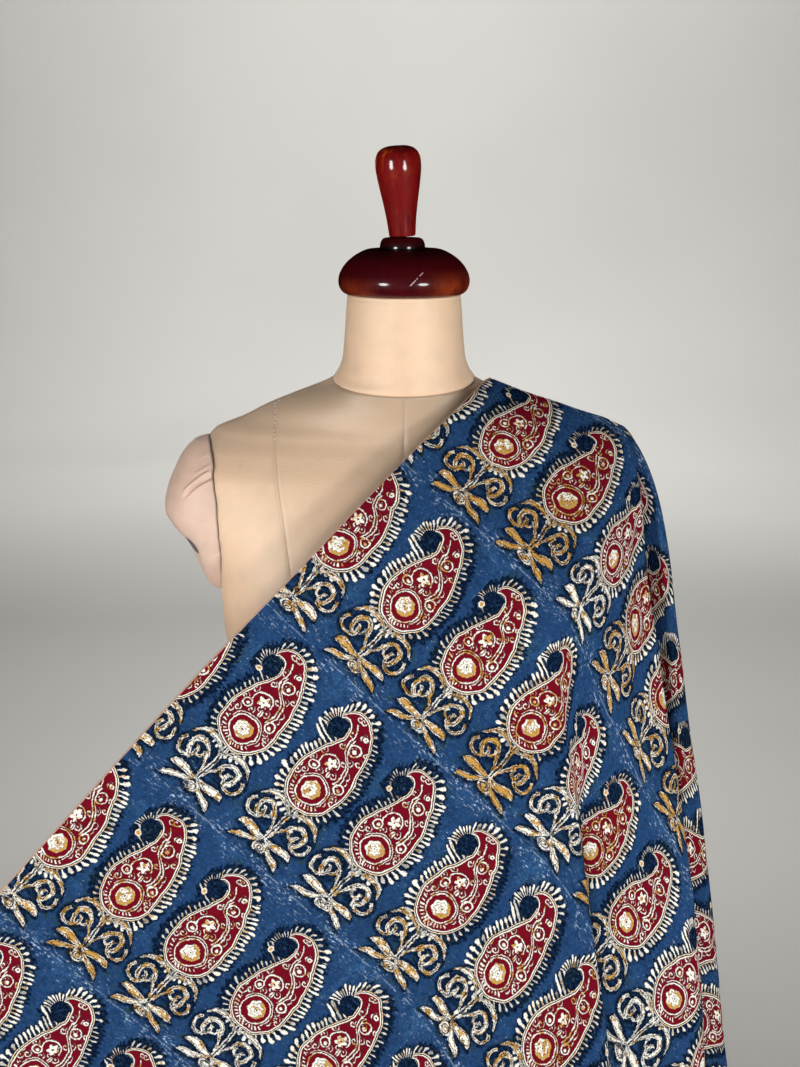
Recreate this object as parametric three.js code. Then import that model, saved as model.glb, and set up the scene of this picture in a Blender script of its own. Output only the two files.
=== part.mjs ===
// A length of block-printed kalamkari cotton thrown over the shoulder of a plain display form.
// Millimetres, +Z up. The origin is the middle of the form's flat base, on the surface that it
// stands on. +X is the shoulder that carries the cloth and -Y is the front.
import * as THREE from "three";
import { mergeVertices } from "three/addons/utils/BufferGeometryUtils.js";

// ---- finishes ----------------------------------------------------------------------------
const COTTON = new THREE.MeshStandardMaterial({ color: 0x2c5286, roughness: 0.9, metalness: 0 });
const COVER = new THREE.MeshStandardMaterial({ color: 0xd2b091, roughness: 0.5, metalness: 0 });
const CAP_COVER = new THREE.MeshStandardMaterial({ color: 0xc4a48c, roughness: 0.45, metalness: 0 });
const ROSEWOOD = new THREE.MeshStandardMaterial({ color: 0x5a0f10, roughness: 0.2, metalness: 0 });

// ---- driving sizes of the form -----------------------------------------------------------
const SEAT_GAP = 0.3; // between pieces that touch
const NECK_TOP = 741;
const NECK_BASE = 671; // height of the neck seam at the sides of the neck
const NECK_TILT = 0.19; // the neck seam falls this much per millimetre towards the front
const TILT_FROM = 545; // below this height the sections are level
const PLATE_X = 163; // the flat armhole plates, either side
// The covered shoulder stands a little higher than the bare one.
const HIGH_SHOULDER = { by: 3, fromX: 64, toX: 130, fromZ: 560, toZ: 628 };
const BUST = { x: 72, z: 402, out: 10, wide: 50, tall: 60 };
const ARM_CAP = { z: 554, halfHeight: 69, halfDepth: 48.5, out: 46, lift: 8 };
const AROUND_TORSO = 44;
const AROUND_NECK = 36;

// Sections of the torso: height, half width, depth to the front and to the back, squareness.
const TORSO_SECTIONS = [
  { z: 0, wide: 166, front: 104, back: 106, square: 2.2 },
  { z: 50, wide: 169, front: 106, back: 111, square: 2.2 },
  { z: 105, wide: 167, front: 104, back: 113, square: 2.2 },
  { z: 165, wide: 153, front: 97, back: 100, square: 2.2 },
  { z: 220, wide: 132, front: 86, back: 80, square: 2.2 },
  { z: 265, wide: 121, front: 79, back: 68, square: 2.2 },
  { z: 310, wide: 127, front: 84, back: 72, square: 2.3 },
  { z: 360, wide: 142, front: 94, back: 82, square: 2.4 },
  { z: 405, wide: 152, front: 100, back: 88, square: 2.5 },
  { z: 450, wide: 158, front: 97, back: 90, square: 2.7 },
  { z: 486, wide: 163, front: 90, back: 88, square: 2.9 },
  { z: 520, wide: 166, front: 81, back: 84, square: 3.0 },
  { z: 555, wide: 168, front: 71, back: 77, square: 3.0 },
  { z: 590, wide: 168, front: 60, back: 67, square: 2.8 },
  { z: 612, wide: 166, front: 51, back: 56, square: 2.4 },
  { z: 628, wide: 161, front: 46, back: 44, square: 1.9 },
  { z: 639, wide: 138, front: 45, back: 41, square: 1.7 },
  { z: 650, wide: 113, front: 46, back: 40, square: 1.65 },
  { z: 660, wide: 90, front: 48, back: 41.5, square: 1.65 },
  { z: 667, wide: 71, front: 50, back: 45, square: 1.8 },
  { z: 671, wide: 62, front: 51, back: 49, square: 2.0 },
];

// Sections of the neck: share of the way up from its seam, half width, half depth.
const NECK_SECTIONS = [
  { up: 0, wide: 62, deep: 50 },
  { up: 0.1, wide: 57.5, deep: 49.2 },
  { up: 0.24, wide: 53.5, deep: 48.4 },
  { up: 0.5, wide: 51.5, deep: 47.8 },
  { up: 0.8, wide: 50, deep: 47.4 },
  { up: 1, wide: 49, deep: 47 },
];

// Turned wood, radius and height: the domed cap, then the handle that stands on its collar.
const DOME_PROFILE = [
  { r: 47, z: 741.3 },
  { r: 51, z: 742 },
  { r: 54.5, z: 746 },
  { r: 56, z: 752 },
  { r: 55.4, z: 757 },
  { r: 52, z: 764 },
  { r: 45, z: 771 },
  { r: 36, z: 776.5 },
  { r: 27, z: 780 },
  { r: 20, z: 781.5 },
];
const COLLAR_PROFILE = [
  { r: 18, z: 781.8 },
  { r: 19.2, z: 783.5 },
  { r: 19.2, z: 786 },
  { r: 17.5, z: 788.5 },
  { r: 16, z: 790 },
];
const HANDLE_PROFILE = [
  { r: 13.5, z: 0 },
  { r: 12.4, z: 3 },
  { r: 12.8, z: 12 },
  { r: 14.6, z: 26 },
  { r: 16.8, z: 40 },
  { r: 18.6, z: 53 },
  { r: 19, z: 61 },
  { r: 18, z: 68.5 },
  { r: 14.5, z: 74 },
  { r: 8, z: 77 },
];
const HANDLE_FOOT = 791.2;
const HANDLE_LEAN = -0.06; // the handle is screwed in a little askew

// ---- driving sizes of the cloth ----------------------------------------------------------
const CLOTH_THICK = 1.6;
const RIDGE_TIP = { x: 188, z: 630.5 }; // where the ridge over the shoulder ends
const NECK_POINT = { x: 74, z: 672 }; // where the upper edge crosses the ridge, beside the neck
const EDGE_ANGLE = 66; // degrees from the ridge to the upper edge, measured in the flat cloth
const BACK_TAIL = 330; // from the neck point to the cut end, down the back
const RING_LENGTH = 640; // the fold table is given where the cloth is this far from the tip
const LAST_FRONT = 121.5; // degrees from the ridge to the front roll, in the flat cloth
const LAST_BACK = 113; // and from the ridge to where the back hangs plain

// How the panel leaves the ridge: its rounding, then its slope forward (or back) as it falls.
const FRONT_FALL = { round: 48, slope: 0.42, from: 120, to: 262, hang: 0.035 };
const BACK_FALL = { round: 58, slope: 0.48, from: 90, to: 185, hang: 0.01 };

// The pleat in the front panel: a line on the cloth, and the cloth that it swallows.
const PLEAT = { top: { x: 128, z: 455 }, bottom: { x: 176, z: 86 }, take: 0.14, wide: 15, deep: 16 };

// Rolls and hollows under the arm, front to back, where they meet the ring: x, y.
const FOLDS = [
  { name: "hollow_1", x: 190, y: 38 },
  { name: "side_roll", x: 299, y: -106 },
  { name: "hollow_2", x: 214, y: 82 },
  { name: "roll_3", x: 300, y: -6 },
  { name: "hollow_3", x: 236, y: 116 },
  { name: "roll_4", x: 303, y: 66 },
  { name: "hollow_4", x: 230, y: 152 },
  { name: "roll_5", x: 272, y: 176 },
  { name: "hollow_5", x: 200, y: 142 },
];
// Over the arm cap the front roll is drawn in towards the form: inwards and back.
const ARM_DRAW = { from: 86, to: 121, middle: 185, reach: 120, inwards: 17, back: 24 };
// Beside the neck both panels stand out over the fuller base of the neck.
const NECK_SWELL = { x: 62, z: 648, reach: 50, front: 17, back: 19, from: 4, to: 42 };
// The ridge is fuller over the seam of the arm cap than beside the neck.
const RIDGE_BOW = { x: 181, wide: 20, deep: 40, up: 2.6, neckX: 105, neckWide: 24, down: 1.6 };
const LEFT_SAG = { from: 140, to: 420, drop: 16 }; // the spread end hangs a little lower
const SIDE_SWELL = 24; // how far the cloth stands off the tip before it falls
const SIDE_ROUND = 48;
const SIDE_HANG = { from: 110, to: 300, keep: 0.42 }; // below the arm cap it stands off less
const FOLD_GROWTH = 1.9; // folds deepen as this power of the distance from the tip
const ROLL_ROUND = 2.6; // degrees of cloth that a roll is rounded over
const FLOOR_LIP = { round: 10, flat: 14 }; // the front hem turns out and lies on the surface
const HEM_ZONE = 30; // the last rows stand closer on this much of the cloth
const ROWS = 18;
const HEM_ROWS = 5; // of which these are in the hem zone
const EDGE_NEAR = 120; // the columns stand closer on this much of the upper edge
const PLEAT_FROM = 84; // and from this angle to the front roll
const STEP = 4; // millimetres, the integration step down the cloth

// ---- small helpers -----------------------------------------------------------------------
const RAD = Math.PI / 180;
const mix = (a, b, t) => a + (b - a) * t;
const clamp = (v, lo, hi) => Math.min(Math.max(v, lo), hi);

function smooth(v, from, to) {
  const t = clamp((v - from) / (to - from), 0, 1);
  return t * t * (3 - 2 * t);
}

// Value of a table at x, by straight lines between its entries.
function lookUp(xs, ys, x) {
  if (x <= xs[0]) return ys[0];
  for (let i = 1; i < xs.length; i++) {
    if (x <= xs[i]) return mix(ys[i - 1], ys[i], (x - xs[i - 1]) / (xs[i] - xs[i - 1]));
  }
  return ys[ys.length - 1];
}

// Evenly spaced values from one number up to, not including, another.
const spread = (from, to, count) => Array.from({ length: count }, (_, i) => mix(from, to, i / count));

// A closed mesh from rings of equal length, with a point at the middle of each end.
function loft(rings, name, material) {
  const around = rings[0].length;
  const middle = (ring) =>
    ring.reduce((sum, p) => sum.add(p), new THREE.Vector3()).divideScalar(around);
  const points = [...rings.flat(), middle(rings[0]), middle(rings[rings.length - 1])];
  const faces = [];
  for (let i = 0; i < around; i++) {
    const j = (i + 1) % around;
    for (let k = 0; k + 1 < rings.length; k++) {
      const low = k * around;
      const high = low + around;
      faces.push(low + i, low + j, high + j, low + i, high + j, high + i);
    }
    const last = (rings.length - 1) * around;
    faces.push(rings.length * around, j, i);
    faces.push(rings.length * around + 1, last + i, last + j);
  }
  return meshOf(points, faces, name, material);
}

function meshOf(points, faces, name, material) {
  const geometry = new THREE.BufferGeometry();
  const flat = points.flatMap((p) => [p.x, p.y, p.z]);
  geometry.setAttribute("position", new THREE.Float32BufferAttribute(flat, 3));
  geometry.setIndex(faces);
  geometry.computeVertexNormals();
  const mesh = new THREE.Mesh(geometry, material);
  mesh.name = name;
  return mesh;
}

// A turned piece: the profile is closed on the axis at both ends.
function turned(profile, segments, name) {
  const ends = [profile[0], profile[profile.length - 1]];
  const outline = [
    new THREE.Vector2(0, ends[0].z),
    ...profile.map((p) => new THREE.Vector2(p.r, p.z)),
    new THREE.Vector2(0, ends[1].z),
  ];
  const lathe = new THREE.LatheGeometry(outline, segments);
  lathe.deleteAttribute("uv");
  lathe.deleteAttribute("normal");
  lathe.rotateX(Math.PI / 2);
  const geometry = mergeVertices(lathe, 1e-3);
  geometry.computeVertexNormals();
  const mesh = new THREE.Mesh(geometry, ROSEWOOD);
  mesh.name = name;
  return mesh;
}

// ---- the form ----------------------------------------------------------------------------
// One level ring of the torso: a superellipse with its own depth in front and behind, drawn in
// to the flat armhole plates, swollen at the bust and tilted near the neck.
function torsoRing(section) {
  const power = 2 / section.square;
  const tilt = NECK_TILT * smooth(section.z, TILT_FROM, NECK_BASE);
  return Array.from({ length: AROUND_TORSO }, (_, i) => {
    const turn = (2 * Math.PI * (i + 0.5)) / AROUND_TORSO;
    const c = Math.cos(turn);
    const s = Math.sin(turn);
    const depth = s < 0 ? section.front : section.back;
    const x = clamp(section.wide * Math.sign(c) * Math.abs(c) ** power, -PLATE_X, PLATE_X);
    let y = depth * Math.sign(s) * Math.abs(s) ** power;
    if (s < 0) {
      const across = (Math.abs(x) - BUST.x) / BUST.wide;
      const upright = (section.z - BUST.z) / BUST.tall;
      y -= BUST.out * Math.exp(-across * across - upright * upright);
    }
    const { by, fromX, toX, fromZ, toZ } = HIGH_SHOULDER;
    const raised = by * smooth(x, fromX, toX) * smooth(section.z, fromZ, toZ);
    return new THREE.Vector3(x, y, section.z + tilt * y + raised);
  });
}

function neckRing(section) {
  const foot = NECK_BASE + SEAT_GAP;
  const tilt = NECK_TILT * (1 - section.up);
  return Array.from({ length: AROUND_NECK }, (_, i) => {
    const turn = (2 * Math.PI * i) / AROUND_NECK;
    const y = section.deep * Math.sin(turn);
    const z = mix(foot, NECK_TOP, section.up) + tilt * y;
    return new THREE.Vector3(section.wide * Math.cos(turn), y, z);
  });
}

// A stuffed arm cap: an oval plate that swells to a blunt dome, higher than its middle.
function armCap(side, name) {
  const steps = [0, 12, 24, 36, 48, 60, 72, 84];
  const rings = steps.map((step) => {
    const shrink = Math.cos(step * RAD) ** 0.9;
    const out = Math.sin(step * RAD);
    return Array.from({ length: 26 }, (_, i) => {
      const turn = ((side > 0 ? 1 : -1) * 2 * Math.PI * i) / 26;
      return new THREE.Vector3(
        side * (PLATE_X + SEAT_GAP + ARM_CAP.out * out),
        ARM_CAP.halfDepth * shrink * Math.cos(turn),
        ARM_CAP.z + ARM_CAP.lift * out + ARM_CAP.halfHeight * shrink * Math.sin(turn),
      );
    });
  });
  return loft(rings, name, CAP_COVER);
}

// ---- the cloth ---------------------------------------------------------------------------
// A place on the flat cloth is its distance from the ridge tip and its angle from the ridge,
// in degrees: positive to the front, on under the arm, and on round to the back.
const tipToNeck = Math.hypot(RIDGE_TIP.x - NECK_POINT.x, RIDGE_TIP.z - NECK_POINT.z);
const ALONG = {
  x: (NECK_POINT.x - RIDGE_TIP.x) / tipToNeck,
  z: (NECK_POINT.z - RIDGE_TIP.z) / tipToNeck,
};
const DOWN = { x: -ALONG.z, z: ALONG.x };
const TIP_TO_EDGE = tipToNeck * Math.sin(EDGE_ANGLE * RAD);
const TIP_PAST_NECK = tipToNeck * Math.cos(EDGE_ANGLE * RAD);

// The fall of a panel as two running sums: how far it has dropped and how far it has gone out.
function fallTable({ round, slope, from, to, hang }) {
  const table = { length: [0], drop: [0], out: [0] };
  const slopeAt = (d) => {
    const bent = Math.exp(-d / round);
    return bent + (1 - bent) * (slope * (1 - smooth(d, from, to)) + hang);
  };
  for (let d = STEP; d <= 1400; d += STEP) {
    const s = slopeAt(d - STEP / 2);
    const last = table.length.length - 1;
    table.length.push(d);
    table.drop.push(table.drop[last] + STEP * Math.sqrt(Math.max(0, 1 - s * s)));
    table.out.push(table.out[last] + STEP * s);
  }
  return table;
}
const frontTable = fallTable(FRONT_FALL);
const backTable = fallTable(BACK_FALL);

function panelPoint(distance, degrees) {
  const away = distance * Math.sin(degrees * RAD);
  const table = away >= 0 ? frontTable : backTable;
  const along = distance * Math.cos(degrees * RAD);
  const at = (away >= 0 ? away : -away) / STEP;
  const i = Math.min(Math.floor(at), table.length.length - 2);
  const drop = mix(table.drop[i], table.drop[i + 1], at - i);
  const out = mix(table.out[i], table.out[i + 1], at - i);
  const x = RIDGE_TIP.x + ALONG.x * along + DOWN.x * drop;
  const bow =
    RIDGE_BOW.up * Math.exp(-(((x - RIDGE_BOW.x) / RIDGE_BOW.wide) ** 2)) -
    RIDGE_BOW.down * Math.exp(-(((x - RIDGE_BOW.neckX) / RIDGE_BOW.neckWide) ** 2));
  const onRidge = Math.exp(-((away / RIDGE_BOW.deep) ** 2)) * (1 - Math.exp(-distance / 12));
  const z = RIDGE_TIP.z + ALONG.z * along + DOWN.z * drop + bow * onRidge;
  const apart = ((x - NECK_SWELL.x) ** 2 + (z - NECK_SWELL.z) ** 2) / NECK_SWELL.reach ** 2;
  const swell = Math.exp(-apart) * smooth(Math.abs(away), NECK_SWELL.from, NECK_SWELL.to);
  return { x, y: away >= 0 ? -out - NECK_SWELL.front * swell : out + NECK_SWELL.back * swell, z };
}

// The pleat draws the cloth beyond it back over itself and sinks along its own line.
function pleated(p) {
  const below = PLEAT.top.z - p.z;
  if (below <= 0 || p.y > 0) return p;
  const share = below / (PLEAT.top.z - PLEAT.bottom.z);
  const line = mix(PLEAT.top.x, PLEAT.bottom.x, share);
  const take = PLEAT.take * below;
  const across = p.x - (line + take / 2);
  const past = smooth(across, -take / 2 - PLEAT.wide, take / 2 + PLEAT.wide);
  const grown = smooth(below, 0, 240);
  const hollow = Math.exp(-((across / (take / 2 + PLEAT.wide)) ** 2) * 2);
  return { x: p.x - take * past, y: p.y + PLEAT.deep * grown * hollow, z: p.z };
}

// The front panel as it lies: drawn in over the arm cap, sagging at its spread end, pleated.
function frontPoint(distance, degrees) {
  const p = panelPoint(distance, degrees);
  const near = (distance - ARM_DRAW.middle) / ARM_DRAW.reach;
  const draw = smooth(degrees, ARM_DRAW.from, ARM_DRAW.to) * Math.exp(-near * near);
  p.x -= ARM_DRAW.inwards * draw;
  p.y += ARM_DRAW.back * draw;
  p.z -= LEFT_SAG.drop * smooth(-p.x, LEFT_SAG.from, LEFT_SAG.to);
  return pleated(p);
}

const frontLine = (distance) => frontPoint(distance, LAST_FRONT);
const backLine = (distance) => panelPoint(distance, -LAST_BACK);

// The folds' places between the two lines, each with its share of the flat angle by its length.
const ringStart = frontLine(RING_LENGTH);
const ringEnd = backLine(RING_LENGTH);
const ringPoints = [ringStart, ...FOLDS, { x: ringEnd.x, y: ringEnd.y }];
const ringRun = ringPoints.reduce((sums, p, i) => {
  if (i === 0) return [0];
  const before = ringPoints[i - 1];
  return [...sums, sums[i - 1] + Math.hypot(p.x - before.x, p.y - before.y)];
}, []);
const SHARES = ringRun.map((run) => run / ringRun[ringRun.length - 1]);
const FOLD_SPAN = 360 - LAST_BACK - LAST_FRONT;

// The plain fall round the side, before it folds, at a share of the way from front to back.
function sideBase(distance, share, start, end) {
  const turn = Math.PI * share;
  const hang = mix(1, SIDE_HANG.keep, smooth(distance, SIDE_HANG.from, SIDE_HANG.to));
  const swell = SIDE_SWELL * hang * (1 - Math.exp(-distance / SIDE_ROUND));
  return {
    x: mix(start.x, end.x, share) + Math.sin(turn) * swell,
    y: start.y * Math.max(Math.cos(turn), 0) + end.y * Math.max(-Math.cos(turn), 0),
  };
}

// Across place of the cloth at a distance and an angle, before its height is known.
function acrossPoint(distance, degrees) {
  if (degrees <= LAST_FRONT) return frontPoint(distance, degrees);
  if (degrees >= 360 - LAST_BACK) return panelPoint(distance, degrees - 360);
  const start = frontLine(distance);
  const end = backLine(distance);
  const share = (degrees - LAST_FRONT) / FOLD_SPAN;
  const grown = Math.pow(distance / RING_LENGTH, FOLD_GROWTH);
  const knots = ringPoints.map((p, i) => {
    const base = sideBase(distance, SHARES[i], start, end);
    const full = sideBase(RING_LENGTH, SHARES[i], ringStart, ringEnd);
    return { x: base.x + (p.x - full.x) * grown, y: base.y + (p.y - full.y) * grown };
  });
  return {
    x: lookUp(SHARES, knots.map((k) => k.x), share),
    y: lookUp(SHARES, knots.map((k) => k.y), share),
  };
}

// The same, with the rolls and hollows rounded by an average over a little of the angle.
function roundedPoint(distance, degrees) {
  const inFolds = Math.min(degrees - LAST_FRONT, 360 - LAST_BACK - degrees);
  const reach = ROLL_ROUND * smooth(inFolds, -2 * ROLL_ROUND, 0);
  if (reach < 1e-6) return acrossPoint(distance, degrees);
  const offsets = [-1, -0.6, -0.2, 0.2, 0.6, 1];
  const near = offsets.map((o) => acrossPoint(distance, degrees + o * reach));
  const mean = (key) => near.reduce((sum, p) => sum + p[key], 0) / near.length;
  return { x: mean("x"), y: mean("y") };
}

// A line down the cloth from the tip: each step is as long as the cloth, so what it doesn't go
// sideways it falls. Panels know their own height; between them the two panels' heights rule.
function fallLine(degrees, longest) {
  const line = [{ x: RIDGE_TIP.x, y: 0, z: RIDGE_TIP.z }];
  const folded = degrees > LAST_FRONT && degrees < 360 - LAST_BACK;
  const share = (degrees - LAST_FRONT) / FOLD_SPAN;
  let z = RIDGE_TIP.z;
  for (let d = STEP; d <= longest; d += STEP) {
    const p = roundedPoint(d, degrees);
    const before = line[line.length - 1];
    if (!folded) {
      z = acrossPoint(d, degrees).z;
    } else {
      const aside = Math.hypot(p.x - before.x, p.y - before.y) / STEP;
      z -= STEP * Math.sqrt(Math.max(0, 1 - aside * aside));
    }
    line.push({ x: p.x, y: p.y, z });
  }
  if (!folded) return line;
  const frontEnd = fallEnds.front;
  const backEnd = fallEnds.back;
  return line.map((p, i) => {
    const ruled = mix(frontEnd[Math.min(i, frontEnd.length - 1)], backEnd[Math.min(i, backEnd.length - 1)], share);
    const keep = 4 * share * (1 - share);
    return { ...p, z: mix(ruled, p.z, keep) };
  });
}
const LONGEST = 1240;
const fallEnds = { front: [], back: [] };
for (let d = 0; d <= LONGEST; d += STEP) {
  fallEnds.front.push(frontLine(d).z);
  fallEnds.back.push(backLine(d).z);
}

// How far the cloth reaches from the tip at an angle: the upper edge, the cut end or the floor.
function reachAt(degrees, line) {
  const fromEdge = (degrees - EDGE_ANGLE) * RAD;
  const toEdge = Math.sin(fromEdge) < -1e-6 ? TIP_TO_EDGE / -Math.sin(fromEdge) : Infinity;
  const tail = BACK_TAIL - TIP_PAST_NECK;
  const toEnd = -Math.cos(fromEdge) > 1e-6 ? tail / -Math.cos(fromEdge) : Infinity;
  return { toEdge, toEnd, toFloor: floorReach(line, lipAt(degrees)) };
}

// The extra cloth past the surface line: a turned-out lip in front, none under the arm, where
// the hem stands on its edge.
function lipAt(degrees) {
  const share = 1 - smooth(degrees, LAST_FRONT - 34, LAST_FRONT - 10);
  return { round: FLOOR_LIP.round * share, flat: FLOOR_LIP.flat * share, rise: share > 0 ? CLOTH_THICK / 2 : 0 };
}

function floorReach(line, lip) {
  const level = lip.rise - lip.round * (Math.PI / 2 - 1) - lip.flat;
  const i = line.findIndex((p) => p.z < level);
  if (i < 0) return Infinity;
  const high = line[i - 1].z;
  const low = line[i].z;
  return (i - 1 + (high - level) / (high - low)) * STEP;
}

// What would sink below the surface turns outwards on it instead.
function onFloor(p, lip) {
  const under = lip.rise + lip.round - p.z;
  if (under <= 0 || lip.round === 0) return p;
  const bend = Math.min(under / lip.round, Math.PI / 2);
  const flat = Math.max(under - (lip.round * Math.PI) / 2, 0);
  return {
    x: p.x,
    y: p.y - lip.round * (1 - Math.cos(bend)) - flat,
    z: lip.rise + lip.round * (1 - Math.sin(bend)),
  };
}

function pointOn(line, distance) {
  const at = distance / STEP;
  const i = Math.min(Math.floor(at), line.length - 2);
  const p = line[i];
  const q = line[i + 1];
  return { x: mix(p.x, q.x, at - i), y: mix(p.y, q.y, at - i), z: mix(p.z, q.z, at - i) };
}

// Angles of the columns: corners are found by halving, folds keep a column on each crest.
function crossing(low, high, first, second) {
  let a = low;
  let b = high;
  for (let i = 0; i < 26; i++) {
    const middle = (a + b) / 2;
    const reach = reachAt(middle, fallLine(middle, LONGEST));
    if (reach[first] < reach[second]) a = middle;
    else b = middle;
  }
  return (a + b) / 2;
}
const FLOOR_CORNER = crossing(40, 80, "toEdge", "toFloor");
const TAIL_CORNER = crossing(140, 230, "toFloor", "toEnd");
const edgeAtTail = Math.atan2(TIP_TO_EDGE, BACK_TAIL - TIP_PAST_NECK) / RAD;
const BACK_CORNER = 180 + EDGE_ANGLE + edgeAtTail;

// Angle of the place on the upper edge this far in front of the neck point.
const edgeAngleAt = (along) => EDGE_ANGLE - Math.atan2(TIP_TO_EDGE, along + TIP_PAST_NECK) / RAD;

function columnAngles() {
  const edgeEnd = TIP_TO_EDGE / Math.tan((EDGE_ANGLE - FLOOR_CORNER) * RAD) - TIP_PAST_NECK;
  const foldStops = SHARES.map((share) => LAST_FRONT + FOLD_SPAN * share);
  const spans = [
    ...spread(0, EDGE_NEAR, 8).map(edgeAngleAt),
    ...spread(EDGE_NEAR, edgeEnd, 16).map(edgeAngleAt),
    ...spread(FLOOR_CORNER, PLEAT_FROM, 5),
    ...spread(PLEAT_FROM, LAST_FRONT, 17),
    ...foldStops.slice(1).flatMap((stop, i) => spread(foldStops[i], stop, 4)),
    ...spread(360 - LAST_BACK, BACK_CORNER, 5),
    ...spread(BACK_CORNER, 360, 18),
    TAIL_CORNER,
  ];
  return spans.sort((first, second) => first - second);
}

function clothMesh() {
  const angles = columnAngles();
  const middle = [];
  for (const degrees of angles) {
    const line = fallLine(degrees, LONGEST);
    const { toEdge, toEnd, toFloor } = reachAt(degrees, line);
    const reach = Math.min(toEdge, toEnd, toFloor);
    const lip = lipAt(degrees);
    for (let row = 1; row <= ROWS; row++) {
      const above = (reach - HEM_ZONE) * Math.pow(Math.min(row / (ROWS - HEM_ROWS), 1), 1.2);
      const hem = (HEM_ZONE * Math.max(row - ROWS + HEM_ROWS, 0)) / HEM_ROWS;
      middle.push(onFloor(pointOn(line, above + hem), lip));
    }
  }
  const columns = angles.length;
  const at = (column, row) => {
    if (row === 0) return new THREE.Vector3(RIDGE_TIP.x, 0, RIDGE_TIP.z);
    const p = middle[(((column % columns) + columns) % columns) * ROWS + row - 1];
    return new THREE.Vector3(p.x, p.y, p.z);
  };
  // Outward normals from the neighbours; the tip's is the mean of its ring's.
  const normals = [];
  for (let c = 0; c < columns; c++) {
    for (let r = 1; r <= ROWS; r++) {
      const down = at(c, Math.min(r + 1, ROWS)).sub(at(c, r - 1));
      const across = at(c + 1, r).sub(at(c - 1, r));
      normals.push(down.cross(across).normalize());
    }
  }
  const tipNormal = new THREE.Vector3();
  for (let c = 0; c < columns; c++) tipNormal.add(normals[c * ROWS]);
  tipNormal.normalize();
  const outer = [];
  const inner = [];
  const half = CLOTH_THICK / 2;
  for (let i = 0; i < middle.length; i++) {
    const p = new THREE.Vector3(middle[i].x, middle[i].y, middle[i].z);
    outer.push(p.clone().addScaledVector(normals[i], half));
    inner.push(p.clone().addScaledVector(normals[i], -half));
  }
  const tip = new THREE.Vector3(RIDGE_TIP.x, 0, RIDGE_TIP.z);
  const points = [
    ...outer,
    tip.clone().addScaledVector(tipNormal, half),
    ...inner,
    tip.clone().addScaledVector(tipNormal, -half),
  ];
  for (const p of points) p.z = Math.max(p.z, 0);
  const layer = middle.length + 1;
  const faces = [];
  for (let c = 0; c < columns; c++) {
    const d = (c + 1) % columns;
    const a = c * ROWS;
    const b = d * ROWS;
    faces.push(layer - 1, a, b, 2 * layer - 1, layer + b, layer + a);
    for (let r = 0; r + 1 < ROWS; r++) {
      faces.push(a + r, a + r + 1, b + r + 1, a + r, b + r + 1, b + r);
      faces.push(layer + a + r, layer + b + r + 1, layer + a + r + 1);
      faces.push(layer + a + r, layer + b + r, layer + b + r + 1);
    }
    const e = ROWS - 1;
    faces.push(a + e, layer + a + e, layer + b + e, a + e, layer + b + e, b + e);
  }
  return meshOf(points, faces, "kalamkari_cloth", COTTON);
}

// ---- the whole ---------------------------------------------------------------------------
const group = new THREE.Group();
group.add(loft(TORSO_SECTIONS.map(torsoRing), "form_torso", COVER));
group.add(loft(NECK_SECTIONS.map(neckRing), "form_neck", COVER));
group.add(armCap(-1, "arm_cap_open"));
group.add(armCap(1, "arm_cap_under_cloth"));
group.add(turned(DOME_PROFILE, 48, "wood_cap"));
group.add(turned(COLLAR_PROFILE, 32, "wood_collar"));
const handle = turned(HANDLE_PROFILE, 32, "wood_handle");
handle.position.set(0, 0, HANDLE_FOOT);
handle.rotation.y = HANDLE_LEAN;
group.add(handle);
group.add(clothMesh());

export default group;
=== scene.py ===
"""A length of block-printed kalamkari cotton thrown over the shoulder of a plain dress form.

Sizes are millimetres for the cloth and the form, and metres in the meshes, the form's finishes and
the studio. The form stands on its flat base at the origin, +X is the shoulder under the cloth and -Y
is the front.
"""

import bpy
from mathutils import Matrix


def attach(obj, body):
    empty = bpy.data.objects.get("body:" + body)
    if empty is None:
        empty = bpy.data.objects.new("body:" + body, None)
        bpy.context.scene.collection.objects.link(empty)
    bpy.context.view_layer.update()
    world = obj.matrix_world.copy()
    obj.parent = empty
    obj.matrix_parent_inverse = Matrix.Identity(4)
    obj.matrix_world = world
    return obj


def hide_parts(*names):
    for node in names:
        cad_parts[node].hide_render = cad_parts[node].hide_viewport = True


bl_info = {
    "name": "Draped kalamkari cloth",
    "version": (1, 0, 0),
    "blender": (4, 5, 0),
    "location": "3D View > Sidebar > Kalamkari",
    "description": "Lays a block-printed cotton over a dress form and sets up a plain studio",
    "category": "Object",
}

import bpy
import numpy as np
from bpy.props import FloatProperty, FloatVectorProperty, PointerProperty
from mathutils import Vector

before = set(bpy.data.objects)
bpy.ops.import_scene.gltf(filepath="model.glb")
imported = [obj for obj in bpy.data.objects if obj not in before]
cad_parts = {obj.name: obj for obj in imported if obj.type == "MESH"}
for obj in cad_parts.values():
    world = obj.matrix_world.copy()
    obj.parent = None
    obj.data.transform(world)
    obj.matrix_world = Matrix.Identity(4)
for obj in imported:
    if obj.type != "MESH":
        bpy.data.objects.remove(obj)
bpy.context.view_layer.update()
MM = 0.001
RAD = np.pi / 180
TINY, NEVER = 1e-9, 9e9
SEED = 11


# ---- sizes and colours that a user would change --------------------------------------------
def length(name, text, millimetres):
    return FloatProperty(name=name, description=text, default=millimetres * MM, unit="LENGTH", precision=4)


def colour(name, text, rgb):
    return FloatVectorProperty(
        name=name, description=text, default=rgb, size=3, min=0, max=1, subtype="COLOR"
    )


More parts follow.
